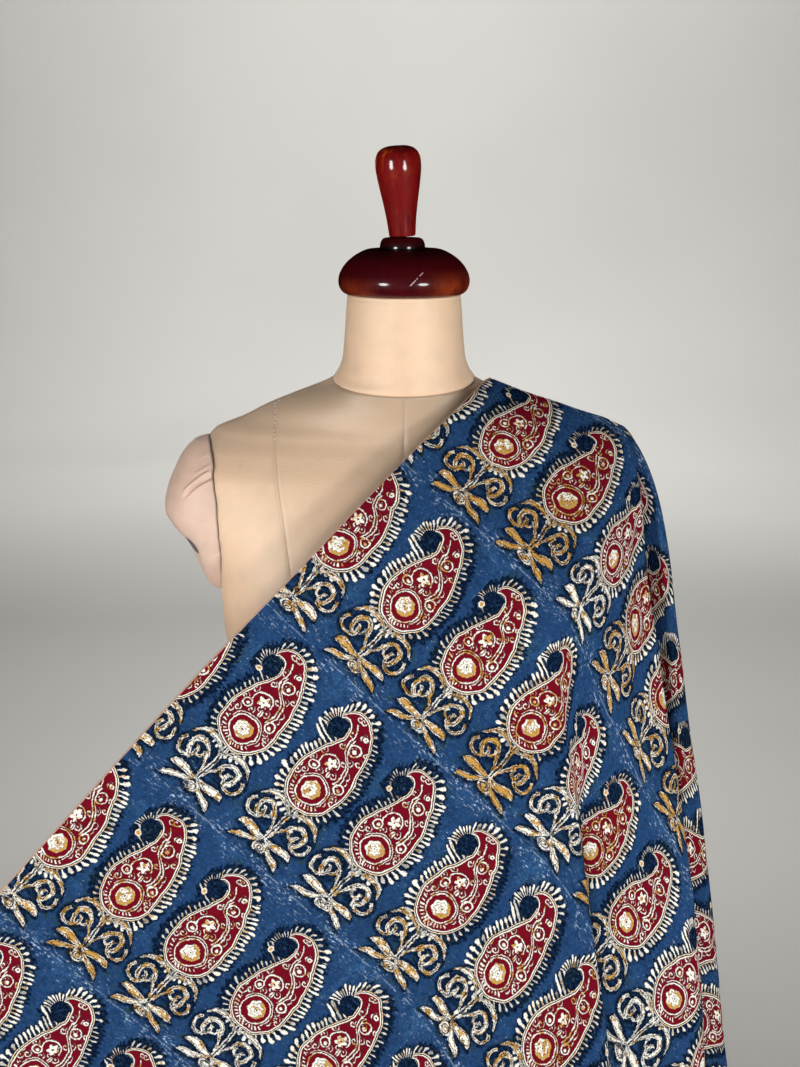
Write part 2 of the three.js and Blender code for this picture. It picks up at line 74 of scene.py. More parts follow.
class ClothSettings(bpy.types.PropertyGroup):
    thick: length("Thickness", "Thickness of the cotton that shows", 0.8)
    crease: FloatProperty(
        name="Crease depth", description="Share of the depth of the soft creases", default=1.0
    )
    ground: colour("Indigo ground", "Ground of the cloth", (0.0155, 0.055, 0.158))
    night: colour("Iron black", "Black-blue of the fringe and outlines", (0.0017, 0.0031, 0.0085))
    madder: colour("Madder red", "Body of the paisleys", (0.148, 0.0040, 0.011))
    cream: colour("Undyed cream", "Lines that are left undyed", (0.800, 0.775, 0.690))
    ochre: colour("Ochre", "Ochre that is painted over the cream", (0.490, 0.270, 0.060))
    stain: colour("Green stain", "Where ochre ran over the indigo", (0.020, 0.045, 0.040))


class FormSettings(bpy.types.PropertyGroup):
    seam: length("Seam depth", "How deep the cover's seams sink", 0.7)
    cover: colour("Cover", "Beige satin of the torso and the neck", (0.660, 0.480, 0.320))
    cap: colour("Arm caps", "Pinkish satin of the arm caps", (0.590, 0.440, 0.345))
    thread: colour("Thread", "White basting thread on the shoulder", (0.820, 0.780, 0.720))


class WoodSettings(bpy.types.PropertyGroup):
    dark: colour("Dark stain", "Dark grain of the stained wood", (0.046, 0.0016, 0.0032))
    light: colour("Light stain", "Red-brown where the stain is thin", (0.180, 0.0035, 0.0028))


class StudioSettings(bpy.types.PropertyGroup):
    distance: length("Camera distance", "Camera to the plane through the form", 1600)
    height: length("Camera height", "Camera above the surface", 880)
    floor: colour("Floor", "Pale floor and backdrop", (0.500, 0.490, 0.465))


# ---- small helpers -------------------------------------------------------------------------
def smooth(v, start, stop):
    """Smoothstep: 3 t^2 - 2 t^3, where t runs from 0 at start to 1 at stop."""
    t = np.clip((np.asarray(v, float) - start) / (stop - start), 0, 1)
    return t * t * (3 - 2 * t)


def eased(x, xs, ys):
    """A table read with monotone cubics: each knot's slope is the harmonic mean of its neighbours'."""
    xs, ys = np.asarray(xs, float), np.asarray(ys, float)
    step = np.diff(xs)
    rise = np.diff(ys) / step
    flat = rise[1:] * rise[:-1] <= 0
    inner = np.where(flat, 0, 2 * rise[1:] * rise[:-1] / np.where(flat, 1, rise[1:] + rise[:-1]))
    slope = np.concatenate([[rise[0]], inner, [rise[-1]]])
    i = np.clip(np.searchsorted(xs, x) - 1, 0, len(xs) - 2)
    t = np.clip((x - xs[i]) / step[i], 0, 1)
    u = 1 - t
    hermite = u * u * (1 + 2 * t) * ys[i] + t * t * (3 - 2 * t) * ys[i + 1]
    return hermite + step[i] * t * u * (u * slope[i] - t * slope[i + 1])


def scaled(rgb, *shares):
    """A colour whose channels are each times their own share, or all times the only one."""
    return tuple(v * k for v, k in zip(rgb, shares * 3 if len(shares) == 1 else shares))


def new_piece(name, points, faces, material, maps=None, slot=None, corner=None):
    """A mesh object from an array of points in millimetres and arrays of faces. Edges bent by more than the
    corner's degrees are kept sharp."""
    mesh = bpy.data.meshes.new(name)
    every_face = [face for part in faces for face in np.asarray(part).tolist()]
    mesh.from_pydata((np.asarray(points) * MM).tolist(), [], every_face)
    corners = np.empty(len(mesh.loops), dtype=np.int32)
    mesh.loops.foreach_get("vertex_index", corners)
    for label, places in (maps or {}).items():
        layer = mesh.uv_layers.new(name=label)
        layer.data.foreach_set("uv", np.asarray(places)[corners].astype(np.float32).ravel())
    mesh.validate()
    mesh.shade_smooth()
    if corner:
        mesh.set_sharp_from_angle(angle=corner * RAD)
    piece = bpy.data.objects.new(name, mesh)
    bpy.context.collection.objects.link(piece)
    mesh.materials.append(material)
    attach(piece, "root")
    return piece


def quads(rows, columns, closed=True):
    """Faces of a grid of points, row by row: each joins a point, the next one along and the two above."""
    c = np.arange(columns if closed else columns - 1)
    n = (c + 1) % columns
    r = (np.arange(rows - 1) * columns)[:, None]
    return np.stack([r + c, r + n, r + columns + n, r + columns + c], -1).reshape(-1, 4)


def fan(centre, ring, flip=False):
    """Triangles from a centre point to each side of a closed ring of points."""
    after = np.roll(ring, -1)
    pair = (after, ring) if flip else (ring, after)
    return np.stack([np.full(len(ring), centre), *pair], -1)


def closed_loft(rings):
    """Points and faces of rings of equal length, from the bottom up, with a fan to the middle of each end."""
    count, around = rings.shape[:2]
    points = np.concatenate([rings.reshape(-1, 3), [rings[0].mean(0), rings[-1].mean(0)]])
    last = np.arange(around) + (count - 1) * around
    ends = fan(count * around, np.arange(around), True), fan(count * around + 1, last)
    return points, [quads(count, around), *ends]


def turned(profile, around, steps):
    """Rings of a turned piece: radius and height are eased along the profile's running length."""
    profile = np.asarray(profile, float)
    run = np.concatenate([[0], np.cumsum(np.hypot(*np.diff(profile, axis=0).T))])
    s = np.linspace(0, run[-1], steps)
    r, z = eased(s, run, profile[:, 0]), eased(s, run, profile[:, 1])
    turn = np.linspace(0, 2 * np.pi, around, endpoint=False)
    x, y = r[:, None] * np.cos(turn), r[:, None] * np.sin(turn)
    return np.stack([x, y, np.broadcast_to(z[:, None], x.shape)], -1)


# ---- shader arithmetic ---------------------------------------------------------------------
class Value:
    """A value socket of one material, with arithmetic that adds Math nodes."""

    def __init__(self, bench, socket):
        self.bench, self.socket = bench, socket

    def math(self, operation, *others):
        """A Math node of this and the others, in that order."""
        sockets = {i + 1: other for i, other in enumerate(others)}
        return self.bench.node("Math", {"operation": operation}, {0: self, **sockets})

    def __add__(self, other):
        return self.math("ADD", other)

    __radd__ = __add__

    def __mul__(self, other):
        return self.math("MULTIPLY", other)

    __rmul__ = __mul__

    def __sub__(self, other):
        return self.math("SUBTRACT", other)

    def __rsub__(self, other):
        return self.bench.node("Math", {"operation": "SUBTRACT"}, {0: other, 1: self})

    def __truediv__(self, other):
        return self.math("DIVIDE", other)

    def __neg__(self):
        return self.math("MULTIPLY", -1.0)

    def __abs__(self):
        return self.math("ABSOLUTE")

    def low(self, other):
        """The lower of the two, which joins two distances."""
        return self.math("MINIMUM", other)

    def high(self, other):
        """The higher of the two, which cuts one distance by another."""
        return self.math("MAXIMUM", other)

    def ramp(self, start, stop, low=0.0, high=1.0):
        """From low at start to high at stop, level outside."""
        sockets = {"Value": self, "From Min": start, "From Max": stop, "To Min": low, "To Max": high}
        return self.bench.node("MapRange", {"clamp": True}, sockets)

    def inside(self, edge, soft):
        """1 where this is below the edge, 0 above it, over a soft step."""
        return self.ramp(edge + soft / 2, edge - soft / 2)

    def curve(self, xs, ys):
        """A table of this, by straight lines. The Float Curve works between 0 and 1, so both axes are
        scaled to that."""
        low, span, x0, x1 = min(ys), max(ys) - min(ys), min(xs), max(xs)
        stops = [((x - x0) / (x1 - x0), (y - low) / span) for x, y in zip(xs, ys)]
        place = (self - x0) / (x1 - x0)
        return self.bench.node("FloatCurve", {"stops": stops}, {"Value": place}) * span + low


class Bench:
    """One material's node tree. node() adds any node; paint() lays one colour over another."""

    def __init__(self, name):
        self.material = bpy.data.materials.new(name)
        self.material.use_nodes = True
        self.tree = self.material.node_tree
        self.tree.nodes.clear()

    def node(self, kind, settings, sockets, out=0):
        """Adds a node, sets its own settings, and joins or fills its sockets. Gives one of its outputs."""
        node = self.tree.nodes.new("ShaderNode" + kind)
        for key, value in settings.items():
            if key == "stops":
                self.set_curve(node, value)
            else:
                setattr(node, key, value)
        for key, value in sockets.items():
            socket = node.inputs[key]
            if isinstance(value, Value):
                self.tree.links.new(value.socket, socket)
            else:
                socket.default_value = value
        return Value(self, node.outputs[out]) if len(node.outputs) else node

    @staticmethod
    def set_curve(node, stops):
        """Puts a Float Curve's points on these stops, with straight lines between them."""
        points = node.mapping.curves[0].points
        while len(points) < len(stops):
            points.new(0.5, 0.5)
        for point, place in zip(points, sorted(stops)):
            point.location = place
            point.handle_type = "VECTOR"
        node.mapping.update()

    def vector(self, operation, *inputs, out=0):
        return self.node("VectorMath", {"operation": operation}, dict(enumerate(inputs)), out)

    def place(self, x, y, z=0.0):
        return self.node("CombineXYZ", {}, {0: x, 1: y, 2: z})

    def on_object(self):
        """Places on the object, in metres."""
        return self.node("TexCoord", {}, {}, 3)

    def noise(self, where, scale, detail, rough, out=0):
        sockets = {"Vector": where, "Scale": scale, "Detail": detail, "Roughness": rough}
        return self.node("TexNoise", {}, sockets, out)

    def dice(self, x, y, out=0):
        """Random numbers, the same ones wherever x and y are the same."""
        return self.node("TexWhiteNoise", {"noise_dimensions": "2D"}, {"Vector": self.place(x, y)}, out)

    def bump(self, height, strength, distance):
        return self.node("Bump", {}, {"Height": height, "Strength": strength, "Distance": distance})

    def parts(self, vector):
        """The three numbers of a vector."""
        split = self.node("SeparateXYZ", {}, {0: vector})
        return [Value(self, socket) for socket in split.socket.node.outputs]

    def choose(self, yes, otherwise, value):
        """One value where yes is 1, the other where it is 0."""
        return self.node("Mix", {"data_type": "FLOAT"}, {0: yes, 2: otherwise, 3: value})

    def paint(self, under, over, share):
        """One colour over another, by this share of it."""
        settings = {"data_type": "RGBA", "blend_type": "MIX", "clamp_factor": True}
        return self.node("Mix", settings, {0: share, 6: shade(under), 7: shade(over)}, 2)

    def finish(self, **sockets):
        """The material's surface shader with these socket values, joined to its output."""
        named = {key.replace("_", " "): value for key, value in sockets.items()}
        shader = self.node("BsdfPrincipled", {}, named)
        self.node("OutputMaterial", {}, {"Surface": shader})
        return self.material


def shade(value):
    """What a colour socket takes: another socket, or three numbers and full alpha."""
    return value if isinstance(value, Value) else (*value[:3], 1)


# ---- the drape -----------------------------------------------------------------------------
# A place on the flat cloth is its distance from the ridge tip and its angle from the ridge, in
# degrees: positive to the front, on under the arm, and on round to the back.
# Thickness of the solid sheet, which the visible one lies inside.
SHEET = 1.6
# Width and height of the ridge's tip and of where the cloth's edge leaves the neck.
TIP = (188.0, 630.5)
NECK_POINT = (74.0, 672.0)
# The upper edge's angle, the length down the back, and the distance at which FOLDS says where folds are.
EDGE_ANGLE, BACK_TAIL, RING_LENGTH = 66.0, 330.0, 640.0
# The angles at which the front and the back panel end and the folds under the arm begin.
LAST_FRONT, LAST_BACK = 121.5, 113.0
FOLD_SPAN = 360 - LAST_BACK - LAST_FRONT
# The drape is worked out in steps of the distance, and folds are rounded over an angle to either side.
STEP, LONGEST = 4.0, 1240.0
ROLL_ROUND = 2.6
# The pleat's line from top to bottom (x and z), the share of its height that it takes up, the half width
# of its edge and how deep it is.
PLEAT = {"top": (128, 455), "bottom": (176, 86), "take": 0.14, "wide": 3, "deep": 17}
# Below the shoulder the front roll is tucked in, so that the roll behind it shows.
TUCK = {"in": 15, "back": 5, "at": 300, "wide": 170}
# Rolls and hollows under the arm, front to back, where they meet the surface: x, y and the power by which
# they grow downwards.
FOLDS = (
    (198, 30, 1.1), (250, -97, 1.2), (300, -88, 1.7), (214, 82, 1.9), (300, -6, 1.9),
    (236, 116, 1.9), (303, 66, 1.9), (230, 152, 1.9), (272, 176, 1.9), (200, 142, 1.9),
)
RIDGE = np.hypot(TIP[0] - NECK_POINT[0], TIP[1] - NECK_POINT[1])
ALONG = ((NECK_POINT[0] - TIP[0]) / RIDGE, (NECK_POINT[1] - TIP[1]) / RIDGE)
TIP_TO_EDGE, TIP_PAST_NECK = RIDGE * np.sin(EDGE_ANGLE * RAD), RIDGE * np.cos(EDGE_ANGLE * RAD)
DISTANCES = np.arange(0, LONGEST + STEP / 2, STEP)
# The cloth bellies out beside the neck: where, over what radius, and how far to the front and to the back.
SWELL = {"at": (62, 648), "over": 50, "front": 17, "back": 19}
# Lines down the cloth: from one angle, up to another, how many. They are closest where it pleats.
LINES = (
    (0, 96, 165), (96, 113, 125), (113, LAST_FRONT, 36),
    (LAST_FRONT, 360 - LAST_BACK, 350), (360 - LAST_BACK, 360, 116),
)
# Rows of points from the tip to the hem, and how many of them lie in the hem's last millimetres.
CLOTH_ROWS, HEM_ROWS, HEM_ZONE = 57, 6, 30.0


def fall_table(around, slope, start, stop, hang):
    """A panel's fall as running sums. Its slope is 1 at the ridge, dies away to the body's slope, then
    hangs."""
    d = np.arange(STEP / 2, 1400, STEP)
    bent = np.exp(-d / around)
    s = bent + (1 - bent) * (slope * (1 - smooth(d, start, stop)) + hang)
    drop = np.concatenate([[0], np.cumsum(STEP * np.sqrt(np.clip(1 - s * s, 0, None)))])
    return np.arange(len(drop)) * STEP, drop, np.concatenate([[0], np.cumsum(STEP * s)])


FRONT_FALL = fall_table(48, 0.42, 120, 262, 0.035)
BACK_FALL = fall_table(58, 0.48, 90, 185, 0.01)


def panel_point(distance, degrees):
    """A cylinder over the ridge: the part of the distance along the ridge stays, and the rest falls by the
    panel's table."""
    away, along = distance * np.sin(degrees * RAD), distance * np.cos(degrees * RAD)
    front, reach = away >= 0, np.abs(away)

    def fallen(table, k):
        return np.interp(reach, table[0], table[k])

    drop, out = (np.where(front, fallen(FRONT_FALL, k), fallen(BACK_FALL, k)) for k in (1, 2))
    x = TIP[0] + ALONG[0] * along - ALONG[1] * drop
    bow = 2.6 * np.exp(-(((x - 181) / 20) ** 2)) - 1.6 * np.exp(-(((x - 105) / 24) ** 2))
    z = TIP[1] + ALONG[1] * along + ALONG[0] * drop
    z = z + bow * np.exp(-((reach / 40) ** 2)) * (1 - np.exp(-distance / 12))
    beside_neck = np.exp(-((x - SWELL["at"][0]) ** 2 + (z - SWELL["at"][1]) ** 2) / SWELL["over"] ** 2)
    swell = beside_neck * smooth(reach, 4, 42)
    return x, np.where(front, -out - SWELL["front"] * swell, out + SWELL["back"] * swell), z


def pleated(x, y, z):
    """The pleat draws what is beyond its line back, and drops it behind the line by a steep S curve that
    fades as an exponential. It is blunt at its top and crisp below."""
    (x0, z0), (x1, z1) = PLEAT["top"], PLEAT["bottom"]
    below = np.clip(z0 - z, 0, None) * (y <= 0)
    take = PLEAT["take"] * below
    half = take / 2 + PLEAT["wide"]
    across = x - (x0 + (x1 - x0) * below / (z0 - z1) + take / 2)
    crisp = 12 - 9.6 * smooth(below, 40, 170)
    behind = 1 / (1 + np.exp(-np.clip((across + 0.42 * half) / crisp, -30, 30)))
    hollow = behind * np.exp(-np.clip(across, 0, None) / 40) * smooth(below, 0, 240)
    return x - take * smooth(across / half, -1, 1), y + PLEAT["deep"] * hollow, z


def front_point(distance, degrees, tucked=1):
    """The front panel as it lies: drawn in over the arm cap, sagging at its spread end, tucked and
    pleated."""
    x, y, z = panel_point(distance, degrees)
    tuck = tucked * smooth(degrees, 107, 121) * np.exp(-(((distance - TUCK["at"]) / TUCK["wide"]) ** 2))
    x, y = x - TUCK["in"] * tuck, y + TUCK["back"] * tuck
    draw = smooth(degrees, 86, 121) * np.exp(-(((distance - 185) / 120) ** 2))
    return pleated(x - 17 * draw, y + 24 * draw, z - 16 * smooth(-x, 140, 420))


def fold_knots(distance):
    """Where each roll and hollow is at each distance: the plain fall round the side, plus its own offset on
    the surface, which grows as a power of the distance."""
    start, end = front_point(distance, LAST_FRONT, 0), panel_point(distance, -LAST_BACK)
    tucked = front_point(distance, LAST_FRONT)
    whole = np.array([RING_LENGTH])
    ring_start, ring_end = front_point(whole, LAST_FRONT), panel_point(whole, -LAST_BACK)
    folds = np.array(FOLDS)
    first, last = (ring_start[0][0], ring_start[1][0]), (ring_end[0][0], ring_end[1][0])
    ring = np.concatenate([[first], folds[:, :2], [last]])
    power = np.concatenate([[1], folds[:, 2], [1]])
    run = np.concatenate([[0], np.cumsum(np.hypot(*np.diff(ring, axis=0).T))])
    share = run / run[-1]

    def plain(d, a, b):
        swell = 24 * (1 - 0.58 * smooth(d, 110, 300)) * (1 - np.exp(-d / 48))
        turn = np.cos(np.pi * share)
        x = a[0][:, None] * (1 - share) + b[0][:, None] * share + np.sin(np.pi * share) * swell[:, None]
        return x, a[1][:, None] * np.clip(turn, 0, None) + b[1][:, None] * np.clip(-turn, 0, None)

    (x, y), (ring_x, ring_y) = plain(distance, start, end), plain(whole, ring_start, ring_end)
    grown = (distance / RING_LENGTH)[:, None] ** power
    x, y = x + (ring[:, 0] - ring_x) * grown, y + (ring[:, 1] - ring_y) * grown
    x[:, 0], y[:, 0] = tucked[0], tucked[1]
    return share, x, y


SHARE, KNOT_X, KNOT_Y = fold_knots(DISTANCES)


def across_point(degrees):
    """Every distance (rows) at every angle (columns): the panels as they are, with straight lines between
    the folds."""
    d = DISTANCES[:, None]
    front = front_point(d, np.minimum(degrees, LAST_FRONT)[None])
    back = panel_point(d, np.maximum(degrees, 360 - LAST_BACK)[None] - 360)
    share = np.clip((degrees - LAST_FRONT) / FOLD_SPAN, 0, 1)
    i = np.clip(np.searchsorted(SHARE, share) - 1, 0, len(SHARE) - 2)
    t = (share - SHARE[i]) / (SHARE[i + 1] - SHARE[i])
    folds = (KNOT_X[:, i] * (1 - t) + KNOT_X[:, i + 1] * t, KNOT_Y[:, i] * (1 - t) + KNOT_Y[:, i + 1] * t)
    before, after = degrees <= LAST_FRONT, degrees >= 360 - LAST_BACK
    x, y = (np.where(before, front[k], np.where(after, back[k], folds[k])) for k in (0, 1))
    return x, y, np.where(before, front[2], back[2])


def fall_lines(degrees):
    """Lines down the cloth from the tip. Folds are rounded by a weighted mean over a little of the angle.
    What a step doesn't go sideways it falls, and near the panels their own heights rule."""
    inside = np.minimum(degrees - LAST_FRONT, 360 - LAST_BACK - degrees)
    reach = ROLL_ROUND * smooth(inside, -2 * ROLL_ROUND, 0)
    offsets = np.linspace(-1, 1, 13)
    weights = np.cos(offsets * np.pi * 0.45)
    near = [across_point(degrees + o * reach) for o in offsets]
    x, y = (np.tensordot(weights / weights.sum(), np.stack([p[k] for p in near]), 1) for k in (0, 1))
    aside = np.hypot(np.diff(x, axis=0), np.diff(y, axis=0)) / STEP
    fallen = np.cumsum(STEP * np.sqrt(np.clip(1 - aside**2, 0, None)), 0)
    own = TIP[1] - np.concatenate([np.zeros((1, len(degrees))), fallen])
    share = np.clip((degrees - LAST_FRONT) / FOLD_SPAN, 0, 1)
    ends = front_point(DISTANCES, LAST_FRONT)[2][:, None], panel_point(DISTANCES, -LAST_BACK)[2][:, None]
    keep = 4 * share * (1 - share)
    between = (ends[0] * (1 - share) + ends[1] * share) * (1 - keep) + own * keep
    z = np.where((inside > 0), between, across_point(degrees)[2])
    x[0], y[0], z[0] = TIP[0], 0, TIP[1]
    return x, y, z


def flat_place(distance, degrees):
    """Flat cloth coordinates: a runs up along the upper edge, b from the upper edge into the cloth."""
    turn = (degrees - EDGE_ANGLE) * RAD
    return TIP_PAST_NECK - distance * np.cos(turn), TIP_TO_EDGE + distance * np.sin(turn)


def cloth_grid(angles):
    """Middle points of the cloth, row by row outwards from the tip, with their flat places. Each line ends
    at the upper edge, the cut end or the surface, where the front hem turns out on a quarter circle."""
    x, y, z = fall_lines(angles)
    turn = (angles - EDGE_ANGLE) * RAD
    to_edge = TIP_TO_EDGE / np.maximum(-np.sin(turn), TINY)
    to_end = (BACK_TAIL - TIP_PAST_NECK) / np.maximum(-np.cos(turn), TINY)
    lip = 1 - smooth(angles, LAST_FRONT - 34, LAST_FRONT - 10)
    around, lies, rise = 10 * lip, 14 * lip, np.where(lip > 0, SHEET / 2, 0)
    level = rise - around * (np.pi / 2 - 1) - lies
    low = np.maximum(np.argmax(z < level, axis=0), 1)
    c = np.arange(len(angles))
    high, under = z[low - 1, c], z[low, c]
    past = np.clip((high - level) / np.maximum(high - under, TINY), 0, 1)
    to_floor = np.where((z < level).any(0), (low - 1 + past) * STEP, NEVER)
    reach = np.minimum(np.minimum(to_edge, to_end), to_floor)
    row = np.arange(1, CLOTH_ROWS + 1)[:, None]
    above_hem = (reach - HEM_ZONE) * np.minimum(row / (CLOTH_ROWS - HEM_ROWS), 1) ** 1.1
    distance = above_hem + HEM_ZONE * np.clip(row - CLOTH_ROWS + HEM_ROWS, 0, None) / HEM_ROWS
    i = np.clip((distance / STEP).astype(int), 0, len(DISTANCES) - 2)
    t = distance / STEP - i
    x, y, z = (v[i, c] * (1 - t) + v[i + 1, c] * t for v in (x, y, z))
    sunk = rise + around - z
    turned_out = (sunk > 0) & (around > 0)
    bend = np.clip(sunk / np.maximum(around, TINY), 0, np.pi / 2)
    flat = np.clip(sunk - around * np.pi / 2, 0, None)
    y = np.where(turned_out, y - around * (1 - np.cos(bend)) - flat, y)
    z = np.where(turned_out, rise + around * (1 - np.sin(bend)), z)
    return np.stack([x, y, z], -1), *flat_place(distance, angles[None])


# Soft creases in the cloth: from (a, b) to (a, b) in the flat, half width, depth (a ridge is negative).
CREASES = (
    ((-30, 20), (-150, 60), 16, 1.6),
    ((-70, 60), (-230, 170), 20, -1.8),
    ((-120, 40), (-330, 150), 26, 1.6),
    ((20, 70), (-60, 150), 12, 1.8),
    ((0, 100), (-120, 230), 14, -2.0),
    ((-60, 150), (-210, 330), 16, 2.2),
    ((-150, 90), (-470, 250), 34, -2.2),
    ((-330, 40), (-520, 60), 26, 1.8),
    ((-420, 120), (-640, 150), 30, -1.8),
    ((-300, 300), (-520, 420), 22, 2.4),
    ((-220, 420), (-380, 560), 14, 2.0),
    ((-120, 300), (-300, 470), 12, -1.8),
    ((60, 20), (220, 60), 22, 1.8),
    ((90, 120), (300, 160), 26, -2.0),
)


def creased(points, a, b, share):
    """Moves points along their normals: each crease is a bell curve across its line, eased in and out along
    it, and a product of slow sines keeps the plain parts uneven."""
    lift = 0.55 * np.sin(a / 37 + np.sin(b / 53) * 1.4) * np.sin(b / 31 + np.sin(a / 71) * 1.7)
    for (a0, b0), (a1, b1), wide, deep in CREASES:
        span = np.hypot(a1 - a0, b1 - b0)
        along = ((a - a0) * (a1 - a0) + (b - b0) * (b1 - b0)) / span
        aside = ((a - a0) * (b1 - b0) - (b - b0) * (a1 - a0)) / span + 7 * np.sin(along / 60)
        eased_ends = smooth(along, -0.1 * span, 0.35 * span) * (1 - smooth(along, 0.6 * span, 1.1 * span))
        lift = lift - deep * eased_ends * np.exp(-((aside / wide) ** 2))
    down = np.gradient(points, axis=0)
    across = np.roll(points, -1, 1) - np.roll(points, 1, 1)
    normal = np.cross(down, across)
    normal /= np.maximum(np.linalg.norm(normal, axis=-1, keepdims=True), TINY)
    clear = smooth(points[..., 2], 6, 60)[..., None]
    return points + normal * (lift * share)[..., None] * clear


# The print's rows lie a little further apart down the cloth, and droop where the cloth turns the arm.
PRINT_ROWS = {
    "a": (-1065, -725, -555, -382, -214, -51, 112, 275, 440),
    "row": (-6, -4, -3, -2, -1, 0, 1, 2, 3),
}
PRINT_PITCH = {"a": (-600, -382, -51, 300), "wide": (76.5, 76, 72, 72)}
# Where the first column lies, and the share of a column by which every other row is moved.
FIRST_COLUMN, BRICK = 56.0, 0.39
# Where the pleat lies on the flat cloth; it hides a strip of the print. Rows of blocks were set down a little
# to one side of each other.
PLEAT_LINE = {
    "a": (-500, -340, -297, -263, -230, -204, -180, -144, -110),
    "b": (700, 505, 446, 381, 335, 300, 262, 199, 150),
}
PLEAT_HIDES = {"b": (150, 280, 441, 525), "wide": (0, 14, 14, 4), "along": (0, 10, 6.5, 2)}
ROW_SHIFT = {"row": (-2.5, -2.4, -1.5, -1.4, -0.5, -0.4, 0.5, 0.6), "by": (0, 5, 5, 0, 0, -4, -4, 0)}
# Behind the front roll the cloth has slipped along the fold.
HANGS = {
    "from": 121.5, "to": 131.0, "at": 344.0,
    "along": -43.0, "more_along": -0.17, "down": -3.6, "more_down": -0.071,
}


def print_place(a, b):
    """Columns and rows of the print at a flat place: whole numbers are the eyes of the paisleys."""
    degrees = np.arctan2(b - TIP_TO_EDGE, TIP_PAST_NECK - a) / RAD + EDGE_ANGLE
    hung = smooth(degrees, HANGS["from"], HANGS["to"]) * (1 - smooth(degrees, 225, 245))
    lower = b - HANGS["at"]
    a = a + (HANGS["along"] + HANGS["more_along"] * lower) * hung
    b = b + (HANGS["down"] + HANGS["more_down"] * lower) * hung
    sharp = smooth(-a, 185, 245)
    past_line = (b - np.interp(a, PLEAT_LINE["a"], PLEAT_LINE["b"]) + 14 - 13 * sharp) / (36 - 33 * sharp)
    beyond = smooth(past_line, 0, 1) * (1 - hung)
    hidden = {k: np.interp(b, PLEAT_HIDES["b"], PLEAT_HIDES[k]) * beyond for k in ("along", "wide")}
    a, b = a + hidden["along"], b + hidden["wide"]
    start = 165 + 155 * smooth(-a, 60, 300)
    past = np.clip(b - start, 0, None)
    drooped = a + 0.28 * past * past / (past + 30) * (1 - hung)
    row = np.interp(drooped, PRINT_ROWS["a"], PRINT_ROWS["row"])
    shift = np.interp(row, ROW_SHIFT["row"], ROW_SHIFT["by"])
    return (b - FIRST_COLUMN - shift) / np.interp(drooped, PRINT_PITCH["a"], PRINT_PITCH["wide"]), row


# ---- the print -----------------------------------------------------------------------------
# One block of the print, in millimetres from the paisley's eye: x across, y up towards its curled tip.
BLOCK_WIDE, BLOCK_HIGH, BLOCK_FOOT = 73.0, 168.0, 0.452
DROP_MIDDLE, HOOK_MIDDLE = (0.0, 5.0), (-20.5, 56.0)
DROP = (
    (21.8, 6), (21.5, 16), (20, 26), (17.5, 36), (14, 46), (10, 55), (5, 60.5), (-1, 61.5),
    (-7, 58), (-10.5, 50), (-12.3, 43), (-16, 34), (-19.5, 25), (-21.5, 16), (-22, 6), (-20.5, -2),
    (-17, -9), (-12, -14.5), (-5, -18), (3, -18.3), (11, -15.5), (18, -9), (21, -2),
)
# The hook over the hollow, about its own middle: degrees, inner and outer radius. There is none where they
# cross.
HOOK = {
    "turn": (-180, -60, -45, -30, -15, 0, 17, 38, 57, 76, 90, 100, 108, 112, 117, 180),
    "in": (12.5, 12.5, 12.2, 11.6, 10.6, 10, 9.8, 10, 10.8, 11.4, 11.4, 11, 10.4, 10, 12.5, 12.5),
    "out": (5.5, 5.5, 11, 20, 29, 30.5, 27, 25, 23, 19, 16, 13.6, 11.2, 10.4, 5.5, 5.5),
}
# Pitch of the pegs round the paisley, and how far its upper sides lean in.
TOOTH, SLANT = 4.6, 0.384
# Half width of a peg, as a share of the pitch, by how far out along the peg.
PEG = {
    "out": (0, 3, 4.2, 6, 8.5, 10.4, 11.6, 12.5),
    "half": (0.8, 0.6, 0.26, 0.30, 0.58, 0.52, 0, -0.5),
}
# Pitch of the cotton's threads.
THREADS = 0.8
# Half of the leaf spray, outwards from its stem: each leaf's height and half width.
STEM_X = 1.7
TOP_LEAF = {
    "x": (0, 3, 7, 13, 19, 25, 29, 32),
    "y": (-27, -25, -22, -20.5, -20.5, -23, -28, -32),
    "w": (0.7, 1.1, 1.6, 2.1, 2.1, 1.9, 1.3, -1),
}
SIDE_LEAF = {
    "x": (0, 3, 8, 14, 20, 25, 28),
    "y": (-56, -56.5, -57, -56, -55.5, -56.5, -59),
    "w": (0.9, 1.5, 2.5, 3.3, 3.3, 2.3, -1),
}
LOW_LEAF = {
    "x": (0, 3, 8, 14, 20, 25, 27),
    "y": (-58, -59, -63, -66, -67.5, -70, -73),
    "w": (-1, 1.1, 2.2, 2.6, 2.6, 1.8, -1),
}
# The arch beside the stem, about its own middle: degrees, radius and half width. There is none where the
# width is below zero.
VOLUTE = {
    "turn": (-180, -157, -143, -134, -128, -78, -68, -62, -49, 7, 40, 78, 118, 145, 180),
    "r": (6.8, 10.3, 15, 17, 17, 10, 9.6, 9, 7.9, 8.8, 10.8, 10.7, 8, 7, 6.8),
    "w": (1.7, 1.7, 1.4, 1.0, -3, -3, 0.8, 1.4, 1.7, 1.9, 2.1, 2.1, 1.8, 1.7, 1.7),
}
# The vine inside the paisley: how far across it is, by height.
VINE = {"y": (16, 20, 26, 32, 36, 40, 44, 48, 53, 58), "x": (9.5, 11, 11.6, 10.2, 8, 4.2, -1, -3.6, -5, -4.4)}


def radius_from(bench, x, y, cx, cy):
    """Distance from a middle."""
    return bench.vector("DISTANCE", bench.place(x, y), (cx, cy, 0), out=1)


def turn_about(x, y, cx, cy):
    """Angle about a middle, in radians: 0 to the right, and growing over the top."""
    return (y - cy).math("ARCTAN2", x - cx)


